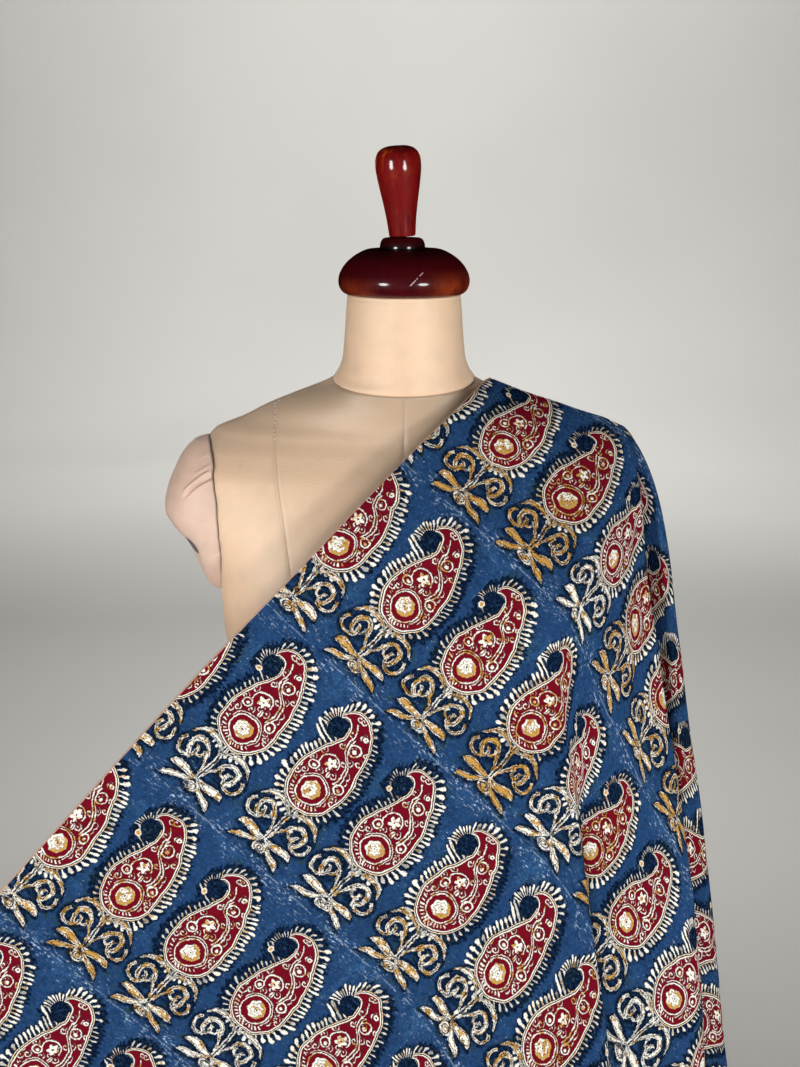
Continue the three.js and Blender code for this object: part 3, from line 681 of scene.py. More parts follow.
def drop_tables():
    """The drop's radius by the angle about its middle, and the cosine between radius and edge normal
    there."""
    p = np.array(DROP) - DROP_MIDDLE
    turn, r = np.arctan2(p[:, 1], p[:, 0]), np.hypot(*p.T)
    order = np.argsort(turn)
    turn, r = turn[order], r[order]
    turns = np.linspace(-np.pi, np.pi, 61)
    radii = np.interp(turns, turn, r, period=2 * np.pi)
    radii = (np.roll(radii[:-1], 1) + 2 * radii[:-1] + np.roll(radii[:-1], -1)) / 4
    slope = (np.roll(radii, -1) - np.roll(radii, 1)) / (2 * (turns[1] - turns[0]))
    cosine = radii / np.hypot(radii, slope)
    return turns, np.append(radii, radii[0]), np.append(cosine, cosine[0])


def paisley(bench, x, y):
    """Distance outside the paisley, which is a drop with a hook over its hollow, and the running length of
    its edge: rays from a point low in the drop, slanting lines beside it, then rays from the middle of the
    hook."""
    turns, radii, cosine = drop_tables()
    turn = turn_about(x, y, *DROP_MIDDLE)
    drop = (radius_from(bench, x, y, *DROP_MIDDLE) - turn.curve(turns, radii)) * turn.curve(turns, cosine)
    about = turn_about(x, y, *HOOK_MIDDLE)
    degrees = about * (1 / RAD)
    r = radius_from(bench, x, y, *HOOK_MIDDLE)
    within_hook = degrees.curve(HOOK["turn"], HOOK["in"]) - r
    hook = within_hook.high((r - degrees.curve(HOOK["turn"], HOOK["out"])) * 0.93)
    side = abs(x)
    slanted = (y - side * SLANT + (21 * SLANT - 5)) * 1.07
    low = turn_about(side, y, 0, -3) - 0.365
    over = (y - x * SLANT).math("GREATER_THAN", 63.9)
    run = bench.choose(low.math("GREATER_THAN", 0.0), low * 21.5, slanted)
    return drop.low(hook), bench.choose(over, run, about * 25 + 300), drop, r


def leaf(x, y, table):
    """Distance outside a leaf that is drawn as a height and a half width over x."""
    return abs(y - x.curve(table["x"], table["y"])) - x.curve(table["x"], table["w"])


def ring(bench, x, y, cx, cy, r, half):
    """Distance outside a round line: how far the radius is from its own, less half of its width."""
    return abs(radius_from(bench, x, y, cx, cy) - r) - half


def lowest(strokes):
    """Distance outside several strokes together, which is the least of theirs."""
    whole = strokes[0]
    for stroke in strokes[1:]:
        whole = whole.low(stroke)
    return whole


def leaf_spray(bench, x, y):
    """Distance outside the spray under the paisley: the same strokes either side of its stem. Each half has
    a top leaf, an arch that turns out at its foot, a curl under it, and two lower leaves; the bud is on the
    stem."""
    side = abs(x - STEM_X)
    stem = (abs(side - 1.3) - 0.6).high(y + 20).high(-58.0 - y)
    turn = turn_about(side, y, 14.5, -39) * (1 / RAD)
    r = radius_from(bench, side, y, 14.5, -39)
    arch = abs(r - turn.curve(VOLUTE["turn"], VOLUTE["r"])) - turn.curve(VOLUTE["turn"], VOLUTE["w"])
    foot = ring(bench, side, y, 24, -40.8, 7.8, 1.3)
    foot = foot.high((y + 35.5).low((y + 44.5) * 0.8 + (side - 22) * -1.0))
    curl = ring(bench, side, y, 14.4, -38.0, 3.8, 1.0).high(side * 0.7 + y + 27.0)
    bud_r = radius_from(bench, (x - 3.2) * 0.62, y, 0, -64.5)
    bud = (bud_r - 4.3).high(0.35 - abs(bud_r - 2.7))
    return lowest([stem, arch, foot, curl, bud] + [leaf(side, y, t) for t in (TOP_LEAF, SIDE_LEAF, LOW_LEAF)])


def small_curls(bench, x, y):
    """Distance outside small spirals about scattered middles, the same ones in every block: the radius less
    an even gain for each turn, wrapped to the nearest winding."""
    scatter = {"Vector": bench.place(x, y), "Scale": 0.105, "Randomness": 0.85}
    middles = bench.node("TexVoronoi", {"voronoi_dimensions": "2D"}, scatter, 2)
    across, up = bench.parts(middles)[:2]
    across, up = x - across, y - up
    r = (across * across + up * up).math("SQRT")
    winding = (r / 3.1 - up.math("ARCTAN2", across) / (2 * np.pi)).math("WRAP", 0.5, -0.5)
    return (abs(winding) * 3.1 - 0.55).high(r - 3.5)


def inner_scrolls(bench, x, y, edge, tooth, each):
    """Distance outside the scrolls that are drawn on the red: the eye's flower in its ring with its tail,
    the vine and its small rings, the flowers between them, petals along the lower edge, and curls in what
    is left."""
    eye = radius_from(bench, x, y, 0, 0)
    turn = turn_about(x, y, 0, 0)
    scallop = (turn * 7.0 + 1.0).math("SINE")
    flower = eye - 7.9 - scallop * 0.5
    rings = (abs(eye - 12.6) - 0.6).low((abs(eye - 14.6) - 0.4).high(-y - x * 0.4 - 3.0))
    tails = (abs(abs(x + y * 0.72 + 12.6) - 1.5) - 0.55).high(12.6 - eye).high(y + 3.0)
    vine = abs(abs(x - y.curve(VINE["y"], VINE["x"])) * 0.8 - 1.1) - 0.5
    vine = vine.high(16.5 - y).high(y - 57.5)
    upper = ring(bench, x, y, 2.2, 50.5, 5.0, 0.6).low(radius_from(bench, x, y, 2.6, 49.6) - 1.9)
    middle = radius_from(bench, x, y, -4, 28)
    petals = turn_about(x, y, -4, 28)
    blossom = (middle - 4.4 - (petals * 5.0 + 0.7).math("SINE") * 1.2).high(0.8 - middle)
    arch = ring(bench, x, y, -5.0, 27, 8.4, 0.6).high(26.0 - y + x * 0.3)
    leaves = (radius_from(bench, x, (y - 19.4) * 0.55, 1, 0) - 1.8).high(0.35 - abs(x - 1))
    left = ring(bench, x, y, -13.6, 18.6, 3.9, 0.65).low(radius_from(bench, x, y, -13, 18.2) - 1.6)
    right = ring(bench, x, y, 14.6, 16.4, 4.2, 0.7).high(11.0 - y - x * 0.1)
    right = right.low(radius_from(bench, x, y, 15, 15.6) - 1.5)
    top = (radius_from(bench, x, y, 2.2, 63) - 2.3).high(0.7 - radius_from(bench, x, y, 2.2, 63))
    in_hook = ring(bench, x, y, *HOOK_MIDDLE, 15.4, 0.5).high(55.5 - y).high(-10.5 - x)
    petal = (abs(edge + 3.2) - 0.8 - each * 1.2).high((tooth - 0.22 - each * 0.3) * TOOTH / 2)
    petal = petal.high(y + 5.0 + x * 0.3)
    on_stem = [flower, rings, tails, vine, upper, blossom, arch, leaves]
    drawn = lowest(on_stem + [left, right, top, in_hook, petal])
    return drawn.low(small_curls(bench, x, y).high(1.0 - drawn).high(16.5 - eye)), eye, scallop


def kalamkari(cloth):
    """The print as a material: a block repeat of paisleys on indigo, then the cotton's own grain."""
    bench = Bench("kalamkari_cotton")
    u, v = bench.parts(bench.node("UVMap", {"uv_map": "print"}, {}))[:2]
    threads = bench.node("UVMap", {"uv_map": "threads"}, {})
    into_cloth, along_edge = bench.parts(threads)[:2]
    on_cloth = bench.place(u * BLOCK_WIDE, v * BLOCK_HIGH)
    # The hand that holds the block: lines wander by about a millimetre.
    wander = bench.vector("SUBTRACT", bench.noise(on_cloth, 0.055, 1.0, 0.5, 1), (0.5, 0.5, 0.5))
    ragged = bench.vector("SUBTRACT", bench.noise(on_cloth, 0.60, 1.0, 0.5, 1), (0.5, 0.5, 0.5))
    wander = bench.vector("MULTIPLY", wander, (5.0, 5.0, 0))
    ragged = bench.vector("MULTIPLY", ragged, (0.9, 0.9, 0))
    shift = bench.vector("ADD", wander, ragged)
    row = (v + BLOCK_FOOT).math("FLOOR")
    across = u - row.math("FLOORED_MODULO", 2.0) * BRICK
    column = (across + 0.5).math("FLOOR")
    # Each block is inked anew, so each one differs.
    inked = bench.dice(column, row, 1)
    first, second, third = bench.parts(inked)
    x = (across - column) * BLOCK_WIDE + (second - 0.5) * 2.0
    y = (v - row) * BLOCK_HIGH + (third - 0.5) * 2.5
    askew = bench.place(x + y * (first - 0.5) * 0.05, y - x * (first - 0.5) * 0.05)
    local = bench.vector("ADD", askew, shift)
    x, y = bench.parts(local)[:2]
    blotch = bench.noise(on_cloth, 0.15, 2.0, 0.6)
    fine = bench.noise(on_cloth, 0.85, 2.0, 0.65)
    grit = bench.noise(on_cloth, 2.4, 2.0, 0.7)
    dabs = bench.noise(on_cloth, 0.34, 3.0, 0.75)

    edge, run, drop, hook_r = paisley(bench, x, y)
    run = run + (dabs - 0.5) * 2.6
    tooth = (run / TOOTH).math("PINGPONG", 0.5) * 2.0
    each = bench.dice((run / TOOTH + 0.5).math("FLOOR"), column + row * 7.0)
    # The resist and the black are never quite in register: a block is heavy on one side or the other.
    heavy = (x * (second - 0.42) * 5.0 + 3.0 - (y - 40) * 0.1).ramp(-14, 14)
    spike = edge / (heavy * 0.28 + 0.50 + each * 0.36)
    half_peg = spike.curve(PEG["out"], PEG["half"]) * (heavy * 0.42 + 0.56)
    fringe = (tooth - half_peg) * (TOOTH / 2)
    in_hollow = (hook_r - 11.5).high(x + 9.0)
    fringe = fringe.high((7.4 + each * 2.4 - hook_r).high(-2.0 - in_hollow)).high(0.08 - each)
    jog_x, jog_y = (dabs - 0.5) * 4.5, (fine - 0.5) * 3.5
    spray = leaf_spray(bench, x + jog_x, y + jog_y)
    scrolls, eye, scallop = inner_scrolls(bench, x + jog_x * 0.7, y + jog_y * 0.6, edge, tooth, each)
    blob = radius_from(bench, x, y, -27.5, 47) - 2.6

    # Ground: dyed by hand, so cloudy, darker round each block, with pale cracks along the joints.
    cloud = bench.noise(on_cloth, 0.030, 4.0, 0.62)
    around = edge.low(spray + 6.0).ramp(26, 8)
    ground = bench.paint(cloth.ground, (0.034, 0.112, 0.255), (cloud - around * 0.10).ramp(0.47, 0.72))
    dark_patch = (blotch.ramp(0.53, 0.30) * 0.8 + around * 0.25).low(0.9)
    ground = bench.paint(ground, (0.009, 0.028, 0.085), dark_patch)
    ground = bench.paint(ground, (0.060, 0.145, 0.270), dabs.ramp(0.54, 0.74) * 0.45)
    ground = bench.paint(ground, (0.007, 0.020, 0.056), dabs.ramp(0.50, 0.28) * 0.85)
    ground = bench.paint(ground, (0.006, 0.018, 0.052), fine.ramp(0.48, 0.28) * 0.6)
    ground = bench.paint(ground, (0.075, 0.175, 0.330), grit.ramp(0.54, 0.72) * 0.5)
    ground = bench.paint(ground, (0.004, 0.011, 0.035), grit.ramp(0.54, 0.30) * 0.85)
    joint = abs((v - row - (1 - BLOCK_FOOT)).math("WRAP", 0.5, -0.5)) * BLOCK_HIGH
    crackle = bench.noise(bench.vector("MULTIPLY", on_cloth, (0.45, 1.0, 1.0)), 0.50, 3.0, 0.72)
    patchy = bench.noise(on_cloth, 0.052, 2.0, 0.6)
    specks = crackle.ramp(0.55, 0.63) * joint.ramp(17, 4) * patchy.ramp(0.45, 0.58)
    specks = specks + crackle.ramp(0.62, 0.70) * cloud.ramp(0.42, 0.60) * 0.8
    seam = (joint + (fine - 0.5) * 3.0).inside(0.4, 0.8) * blotch.ramp(0.44, 0.56) * 0.5
    ground = bench.paint(ground, (0.42, 0.54, 0.68), specks.high(seam) * grit.ramp(0.3, 0.5))

    # Black-blue halo and fringe, then the green where the ochre ran.
    night_reach = 9.9 - tooth * 3.0 + blotch * 8.0 - heavy * 0.5
    near_spray = spray.inside(3.2, 2.4)
    in_spray = (radius_from(bench, abs(x - STEM_X) * 0.8, y, 11.5, -40) - 9.5).inside(0.0, 3.0)
    near_body = (edge - night_reach).inside(0.0, 1.8)
    halo = near_spray.high(near_body).high(in_spray * 0.85)
    halo = halo * fine.ramp(0.20, 0.46, 0.45, 1.0) * dabs.ramp(0.66, 0.46, 0.45, 1.0)
    ran = spray.inside(9.0, 8.0) * blotch.ramp(0.55, 0.62) * 0.7
    ran = ran.high(edge.inside(15.0, 8.0) * cloud.ramp(0.56, 0.62) * 0.4)
    colour_now = bench.paint(bench.paint(ground, cloth.stain, ran), cloth.night, halo * 0.95)

    # Cream and ochre strokes.
    worn = fine.ramp(0.31, 0.43, 0.05, 1.0)
    ochre_here = (blotch + (first - 0.5) * 0.12).ramp(0.52, 0.59)
    light = bench.paint(cloth.cream, cloth.ochre, ochre_here)
    rough_spray = spray + (grit - 0.5) * 1.2
    core = rough_spray.inside(-0.7, 0.4) * (dabs * 0.6 + blotch * 0.4 + (first - 0.5) * 0.2).ramp(0.45, 0.51)
    leaf_tone = bench.paint(light, cloth.ochre, core)
    colour_now = bench.paint(colour_now, leaf_tone, rough_spray.inside(-0.1, 0.5) * worn)
    hair = abs(spray + 1.0 + (bench.noise(on_cloth, 0.17, 1.0, 0.5) - 0.5) * 4.2)
    colour_now = bench.paint(colour_now, cloth.night, hair.inside(0.32, 0.3) * spray.inside(0.1, 0.3))
    peg = bench.paint(cloth.cream, cloth.ochre, (ochre_here * edge.inside(7.5, 2.0)).low(0.8))
    behind_leaf = spray.ramp(-0.2, 1.2)
    pegs = (fringe + (fine - 0.5) * 0.9).inside(0.0, 0.5) * edge.ramp(0.0, 0.4)
    pegs = pegs * (heavy * 0.3 + 0.78).low(1.0) * worn * behind_leaf
    colour_now = bench.paint(colour_now, peg, pegs)
    blob = blob + (fine - 0.5) * 3.0
    blob_tone = bench.paint(cloth.cream, cloth.ochre, blob.inside(-0.9, 0.6))
    colour_now = bench.paint(colour_now, blob_tone, blob.inside(0.0, 0.7) * second.ramp(0.30, 0.45))

    # The outline: cream, a hair of black, ochre, a hair of black.
    band = edge * (1.12 - heavy * 0.12)
    on_outline = hook_r.ramp(9.0, 9.8).high(drop.inside(8.0, 0.5)) * behind_leaf
    colour_now = bench.paint(colour_now, cloth.night, band.inside(3.5, 0.5) * on_outline)
    line_tone = bench.paint(cloth.ochre, cloth.cream, fine.ramp(0.44, 0.56))
    colour_now = bench.paint(colour_now, line_tone, abs(band - 2.35).inside(0.42, 0.4) * on_outline)
    colour_now = bench.paint(colour_now, cloth.cream, abs(band - 0.65).inside(0.46, 0.45))
    uneven = (blotch.ramp(0.42, 0.62) * 0.6).high(grit.ramp(0.5, 0.3) * 0.7)
    red = bench.paint(cloth.madder, (0.115, 0.004, 0.012), uneven)
    colour_now = bench.paint(colour_now, red, band.inside(0.0, 0.4))

    # On the red: scrolls with a dark hair round them.
    within = band.inside(-0.4, 0.6)
    colour_now = bench.paint(colour_now, (0.05, 0.004, 0.012), scrolls.inside(0.45, 0.35) * within * 0.8)
    drawn_here = (scrolls + 0.1 + (fine - 0.5) * 0.7).inside(0.0, 0.4) * within * worn
    colour_now = bench.paint(colour_now, light, drawn_here)
    # The flower in the eye: ochre to one side, brown hairs between its petals and a dark heart.
    in_flower = (eye - 8.0).inside(0.0, 0.4)
    outer_petals = in_flower * (eye - 5.2 - scallop * 0.7).ramp(0.0, 0.5)
    one_side = (x * 0.8 - y * (first - 0.3) + (blotch - 0.5) * 20).ramp(-3.0, 1.0)
    colour_now = bench.paint(colour_now, cloth.ochre, outer_petals * one_side)
    petal_hairs = abs(eye - 5.2 - scallop * 0.8).low(abs(eye - 2.4 - scallop * 0.3) + 0.1)
    brown = petal_hairs.inside(0.36, 0.35) * in_flower * dabs.ramp(0.36, 0.48) * 0.85
    colour_now = bench.paint(colour_now, (0.035, 0.022, 0.028), brown)
    colour_now = bench.paint(colour_now, (0.012, 0.008, 0.014), (eye - 0.75).inside(0.0, 0.4))

    # The selvedge is left tan; then the cotton: a dry grain of threads, with a thinner dye where they cross.
    selvedge = (into_cloth + (fine - 0.5) * 0.8).inside(1.3, 0.7)
    colour_now = bench.paint(colour_now, (0.42, 0.27, 0.20), selvedge)
    colour_now = bench.paint(colour_now, (0.004, 0.008, 0.02), grit.ramp(0.48, 0.24) * 0.45)
    warp = (into_cloth * (2 * np.pi / THREADS)).math("SINE")
    weave = warp * (along_edge * (2 * np.pi / THREADS)).math("SINE")
    height = weave * 0.3 + grit + fine * 0.6
    bump = bench.bump(height, 0.40, 0.0005)
    return bench.finish(Base_Color=colour_now, Roughness=0.95, Normal=bump, Specular_IOR_Level=0.0)


# ---- the form ------------------------------------------------------------------------------
# The neck's seam tilts by a share of its depth, and the torso takes up the tilt from a height.
NECK_TOP, NECK_BASE, NECK_TILT, TILT_FROM = 743.7, 671.0, 0.19, 545.0
# Half the distance between the armhole plates, and the gap that pieces are seated by.
PLATE_X, SEAT = 163.0, 0.3
# Height, half width, depth to the front and to the back, squareness.
TORSO = np.array((
    (0, 166, 104, 106, 2.2), (50, 169, 106, 111, 2.2), (105, 167, 104, 113, 2.2), (165, 153, 97, 100, 2.2),
    (220, 132, 86, 80, 2.2), (265, 121, 79, 68, 2.2), (310, 127, 84, 72, 2.3), (360, 142, 94, 82, 2.4),
    (405, 152, 100, 88, 2.5), (450, 158, 97, 90, 2.7), (486, 163, 90, 88, 2.9), (520, 166, 81, 84, 3.0),
    (555, 168, 71, 77, 3.0), (590, 168, 60, 67, 2.8), (612, 166, 51, 56, 2.4), (628, 161, 46, 44, 1.9),
    (639, 138, 45, 41, 1.7), (650, 113, 46, 40, 1.65), (660, 90, 48, 41.5, 1.65), (667, 71, 50, 45, 1.8),
    (671, 62, 51, 49, 2.0),
))
# The neck's half width and half depth, by the share of its height.
NECK = np.array((
    (0, 62, 50), (0.1, 57.5, 49.2), (0.24, 53.5, 48.4), (0.5, 51.5, 47.8), (0.8, 50, 47.4), (1, 49, 47),
))
# How far out the front and back princess seams run, by height.
FRONT_SEAM = {
    "z": (0, 105, 265, 402, 450, 518, 551, 583, 617, 655, 671),
    "x": (98, 96, 66, 84, 88, 96, 100.6, 105.8, 109.6, 111, 60),
}
BACK_SEAM = {"z": (0, 105, 265, 450, 590, 640, 671), "x": (88, 90, 56, 76, 92, 98, 55)}
# The bare shoulder is fuller, so that it meets the rim of its arm cap.
SHOULDER = {
    "z": (470, 486, 520, 555, 590, 612, 628, 639, 650, 660, 671),
    "more": (0, 0, 3.5, 16.5, 24, 15.5, 4.5, 2.5, 5.5, 3, 0),
}
# The armhole plates are ovals: half height, half depth and the height of their middle.
CAP_HIGH, CAP_DEEP, CAP_Z = 68.6, 48.0, 554.0
# How far the caps stand out, by height. The bare one has slumped; the one under the cloth is round.
BARE_CAP = {
    "z": (485.4, 487.4, 501, 519, 530, 537.2, 546.2, 557.4, 566.3, 580, 593, 604, 613, 619, 622.6),
    "out": (3.5, 9, 16.8, 23.2, 27.8, 33, 40.6, 45.4, 45.2, 41, 34.5, 28, 21.3, 14, 3),
}
ROUND_CAP = {
    "z": (485.4, 489, 496, 508, 525, 545, 562, 580, 596, 610, 619, 622.6),
    "out": (2, 14, 24, 34, 42, 45, 45.4, 42, 35, 25, 14, 4),
}
# How far out the plates lean for each millimetre up.
PLATE_LEANS = 4.5 / 69
# How far the bare cap's seam lies inside the edge of its plate, by height.
BARE_SEAM = {
    "z": (485, 495, 527, 560, 588, 600, 608, 614, 620, 627, 640),
    "in": (1.0, 1.5, 4.0, 4.5, 3.3, 4.0, 3.0, 1.0, -1.2, -3.0, -3.5),
}
# The handle's lean as an angle, the height of its foot, and how far off the middle it and its collar stand.
HANDLE_LEANS, HANDLE_FOOT, OFF_CENTRE = -0.06, 792.7, 1.3
# Rucks of the bare cap: height at the seam, fall, half width, how far they stand out and reach.
CAP_RUCKS = (
    (597, 20, 2.0, 2.6, 0.60), (593, 21, 1.6, -2.8, 0.56), (589, 17, 1.8, 1.8, 0.50),
    (602, 14, 2.0, 1.2, 0.40), (611, 8, 1.8, 1.0, 0.34), (539, 12, 2.2, 1.4, 0.40),
    (527, 7, 1.6, -1.0, 0.30),
)

# Columns of points between one seam of the torso and the next, and which seam is the bare front one.
COLUMNS, BARE_FRONT_SEAM = 42, 5
# Heights of the basting stitches, and their length and half thickness.
STITCHES = (653.4, 651.6, 650.2, 648.1, 646.6, 643.8, 642.2, 639.4, 637.2, 634.2, 631.6, 628.4)
STITCH_LONG, STITCH_THIN = 2.3, 0.26
# Points round each ring of the neck, of the turned wood and of a stitch.
AROUND_NECK, AROUND_WOOD, AROUND_STITCH = 180, 144, 8


def torso_size(z):
    """Half width, front depth, back depth and squareness at each height, with the cover a little slack."""
    wide, front, back, square = (eased(z, TORSO[:, 0], TORSO[:, k]) for k in (1, 2, 3, 4))
    return wide - 0.5, front - 0.5, back - 0.5, square


def plate_at(z):
    """Half width at the armhole plate, which leans and whose rim is a little wavy, as a sum of two sines."""
    lean = PLATE_LEANS * np.clip(z - CAP_Z, -CAP_HIGH, 60)
    return PLATE_X + lean + 0.35 * np.sin(z / 8.5) + 0.2 * np.sin(z / 3.7 + 1)


def drawn_in(z):
    """How far the bare cap's seam lies inside its plate's edge, with a notch where its ruck starts."""
    seam = eased(z, BARE_SEAM["z"], BARE_SEAM["in"])
    return seam - 1.1 * np.exp(-(((z - 594) / 3.0) ** 2)) + 0.9 * np.exp(-(((z - 536) / 2.6) ** 2))


def torso_point(turn, z):
    """A superellipse with its own depth in front and behind: x = wide sgn(c) |c|^(2/n) and
    y = deep sgn(s) |s|^(2/n). It is cut flat at the armhole plates, swells at the bust and tilts near the
    neck."""
    wide, front, back, square = torso_size(z)
    c, s = np.cos(turn), np.sin(turn)
    wide = wide + eased(z, SHOULDER["z"], SHOULDER["more"]) * (c < 0)
    x = wide * np.sign(c) * np.abs(c) ** (2 / square)
    y = np.where(s < 0, front, back) * np.sign(s) * np.abs(s) ** (2 / square)
    bust = 10 * np.exp(-(((np.abs(x) - 72) / 50) ** 2) - ((z - 402) / 60) ** 2)
    y = y - bust * smooth(-s, 0, 0.25)
    raised = 3 * smooth(x, 64, 130) * smooth(z, 560, 628)
    z = z + NECK_TILT * smooth(z, TILT_FROM, NECK_BASE) * y + raised
    return np.stack([np.clip(x, drawn_in(z) - plate_at(z), plate_at(z)), y, z], -1)


def seam_turns(z):
    """The turn of each seam at each height, from the side seam round: the back's, then the front's."""
    wide, _, _, square = torso_size(z)
    turns = []
    for more in (0, eased(z, SHOULDER["z"], SHOULDER["more"])):
        for table in (BACK_SEAM, FRONT_SEAM):
            share = np.clip(np.interp(z, table["z"], table["x"]) / (wide + more), 0, 0.985)
            turns.append(np.arccos(share ** (square / 2)))
    back, front, bare_back, bare_front = turns
    whole = 0 * z
    half = np.pi + whole
    behind = [whole, back, half / 2, np.pi - bare_back, half]
    in_front = [np.pi + bare_front, half * 1.5, 2 * np.pi - front, half * 2]
    return np.stack(behind + in_front, -1)


def outward(points):
    """Unit normals of closed rings that are stacked from the bottom up, by the cross product of the grid's
    steps."""
    across = np.roll(points, -1, 1) - np.roll(points, 1, 1)
    normal = np.cross(across, np.gradient(points, axis=0))
    return normal / np.maximum(np.linalg.norm(normal, axis=-1, keepdims=True), TINY)


def torso_rings(seam):
    """Columns run between the seams, closer together beside them; each seam sinks as a bell curve of the
    distance from it, and a slow wave of puckers lies beside it."""
    z = np.concatenate([np.arange(0, 556, 5.5), np.arange(558, 670, 1.7), [670.7]])
    near = 0.5 - 0.5 * np.cos(np.pi * (np.arange(COLUMNS) / COLUMNS))
    near = 0.55 * near + 0.45 * np.arange(COLUMNS) / COLUMNS
    knots = seam_turns(z)
    turn = (knots[:, :-1, None] + (knots[:, 1:] - knots[:, :-1])[..., None] * near).reshape(len(z), -1)
    points = torso_point(turn, z[:, None])
    run = np.cumsum(np.linalg.norm(np.diff(points, axis=1, append=points[:, :1]), axis=-1), axis=1)
    run = np.concatenate([0 * run[:, :1], run[:, :-1]], 1)
    seams = np.concatenate([run[:, ::COLUMNS], run[:, -1:] + 3], 1)
    away = np.abs(run[..., None] - seams[:, None]).min(-1)
    pucker = 0.22 * np.sin(z / 4.6 + 2 * np.sin(z / 31))[:, None] * np.exp(-away / 7)
    x, up = points[..., 0], z[:, None]
    slack = 0.5 * np.sin(x / 47 + up / 61) * np.sin(up / 38 - x / 83)
    sunk = seam * np.exp(-((away / 1.5) ** 2)) + pucker * 0.5 + 0.35 + 0.35 * slack
    points = points - outward(points) * sunk[..., None]
    # The neck sits on a flat, tilted top, so no seam may stand above it.
    points[..., 2] = np.minimum(points[..., 2], z[-1] + NECK_TILT * points[..., 1])
    return points


def neck_rings(seam):
    """An oval neck whose foot tilts with the neck seam. Faint wrinkles ring it just above the seam."""
    up = np.concatenate([np.linspace(0, 0.08, 8)[:-1], np.linspace(0.08, 1, 60)])[:, None]
    turn = np.linspace(0, 2 * np.pi, AROUND_NECK, endpoint=False)
    wide, deep = (eased(up, NECK[:, 0], NECK[:, k]) - 0.35 for k in (1, 2))
    wrinkle = 0.45 * np.sin(up * 34 + 1.4 * np.sin(turn * 2 + 0.6)) * np.exp(-up * 5)
    wrinkle = wrinkle * (0.6 + 0.4 * np.sin(turn * 3 + 1))
    tuck = seam * np.exp(-up * 60)
    upper = -0.35 * np.exp(-(((up - 0.97) / 0.02) ** 2))
    grow = 1 + (wrinkle - tuck + upper) / 50
    z = (NECK_BASE + 2 * SEAT) * (1 - up) + NECK_TOP * up + NECK_TILT * (1 - up) * deep * np.sin(turn)
    x, y = wide * grow * np.cos(turn), deep * grow * np.sin(turn)
    return np.stack([x, y, np.broadcast_to(z, grow.shape)], -1)


def cap_rings(side, table, rucked):
    """A stuffed arm cap in level sections: each goes round the plate's oval at its height, flat against the
    plate and out as a superellipse by the table. Rucks are ridges along lines that leave the seam, and
    sines of the height that die away from it."""
    turn = np.linspace(-np.pi / 2, np.pi / 2, 150)[None]
    z = CAP_Z - (CAP_HIGH - 0.25) * np.cos(np.linspace(0.03, np.pi - 0.03, 200))[:, None]
    deep = CAP_DEEP * np.sqrt(np.clip(1 - ((z - CAP_Z) / CAP_HIGH) ** 2, 0.0004, 1))
    out = eased(z, table["z"], table["out"]) * 0.99
    c, s = np.cos(turn), np.sin(turn)
    x = out * np.clip(c, 0, 1) ** 0.78
    y = deep * np.sign(s) * np.abs(s) ** 0.92
    seam = np.exp(-((c / 0.34) ** 2))
    waves = (np.sin(z / 3.1 + 2 * np.sin(z / 17)) * 0.5 + np.sin(z / 8.3 + 1) * 0.6) * seam
    waves = waves * (1 - np.exp(-((c / 0.07) ** 2)))
    for z0, fall, wide, by, reach in CAP_RUCKS:
        line = np.exp(-(((z - z0 + fall * c / 0.6) / wide) ** 2))
        ruck = rucked * by * line * smooth(c, 0, 0.04) * (1 - smooth(c, reach - 0.25, reach))
        waves = waves + ruck * (s < 0)
    x = np.clip(x + waves * smooth(out, 0, 14), 0.02, None)
    y = y * (1 + 0.018 * waves * smooth(out, 0, 14))
    inward = drawn_in(z) if side < 0 else 0 * z
    plate = plate_at(z) + SEAT - inward
    x = x + np.clip(inward, 0, None) * np.clip(c, 0, 1) ** 0.78 * smooth(out, 0, 8)
    back = np.linspace(1, -1, 14)[None, 1:-1] * deep
    outer = np.stack([x + plate + 0 * y, y + 0 * x, z + 0 * x], -1)
    flat = np.stack([plate + 0 * back, back, z + 0 * back], -1)
    rings = np.concatenate([outer, flat], 1)
    if side < 0:
        rings = (rings * (-1, 1, 1))[:, ::-1]
    return rings


def stitch_points(at, way, up, long, thin):
    """Capsules along short lines: rings whose radius is a half ellipse along the line, arched a little off
    the cloth. Every stitch has its own middle, direction and outward side."""
    t = np.linspace(-1, 1, 9)
    turn = np.linspace(0, 2 * np.pi, AROUND_STITCH, endpoint=False)
    aside = np.cross(up, way)
    radius = thin * np.sqrt(np.clip(1.02 - t * t, 0.02, 1))
    along = way[:, None] * (t * long / 2)[:, None]
    arch = up[:, None] * (0.35 * (1 - t * t))[:, None]
    middle = at[:, None] + along + arch
    spread = np.cos(turn)[:, None] * aside[:, None, None] + np.sin(turn)[:, None] * up[:, None, None]
    return middle[:, :, None] + spread * radius[:, None, None]


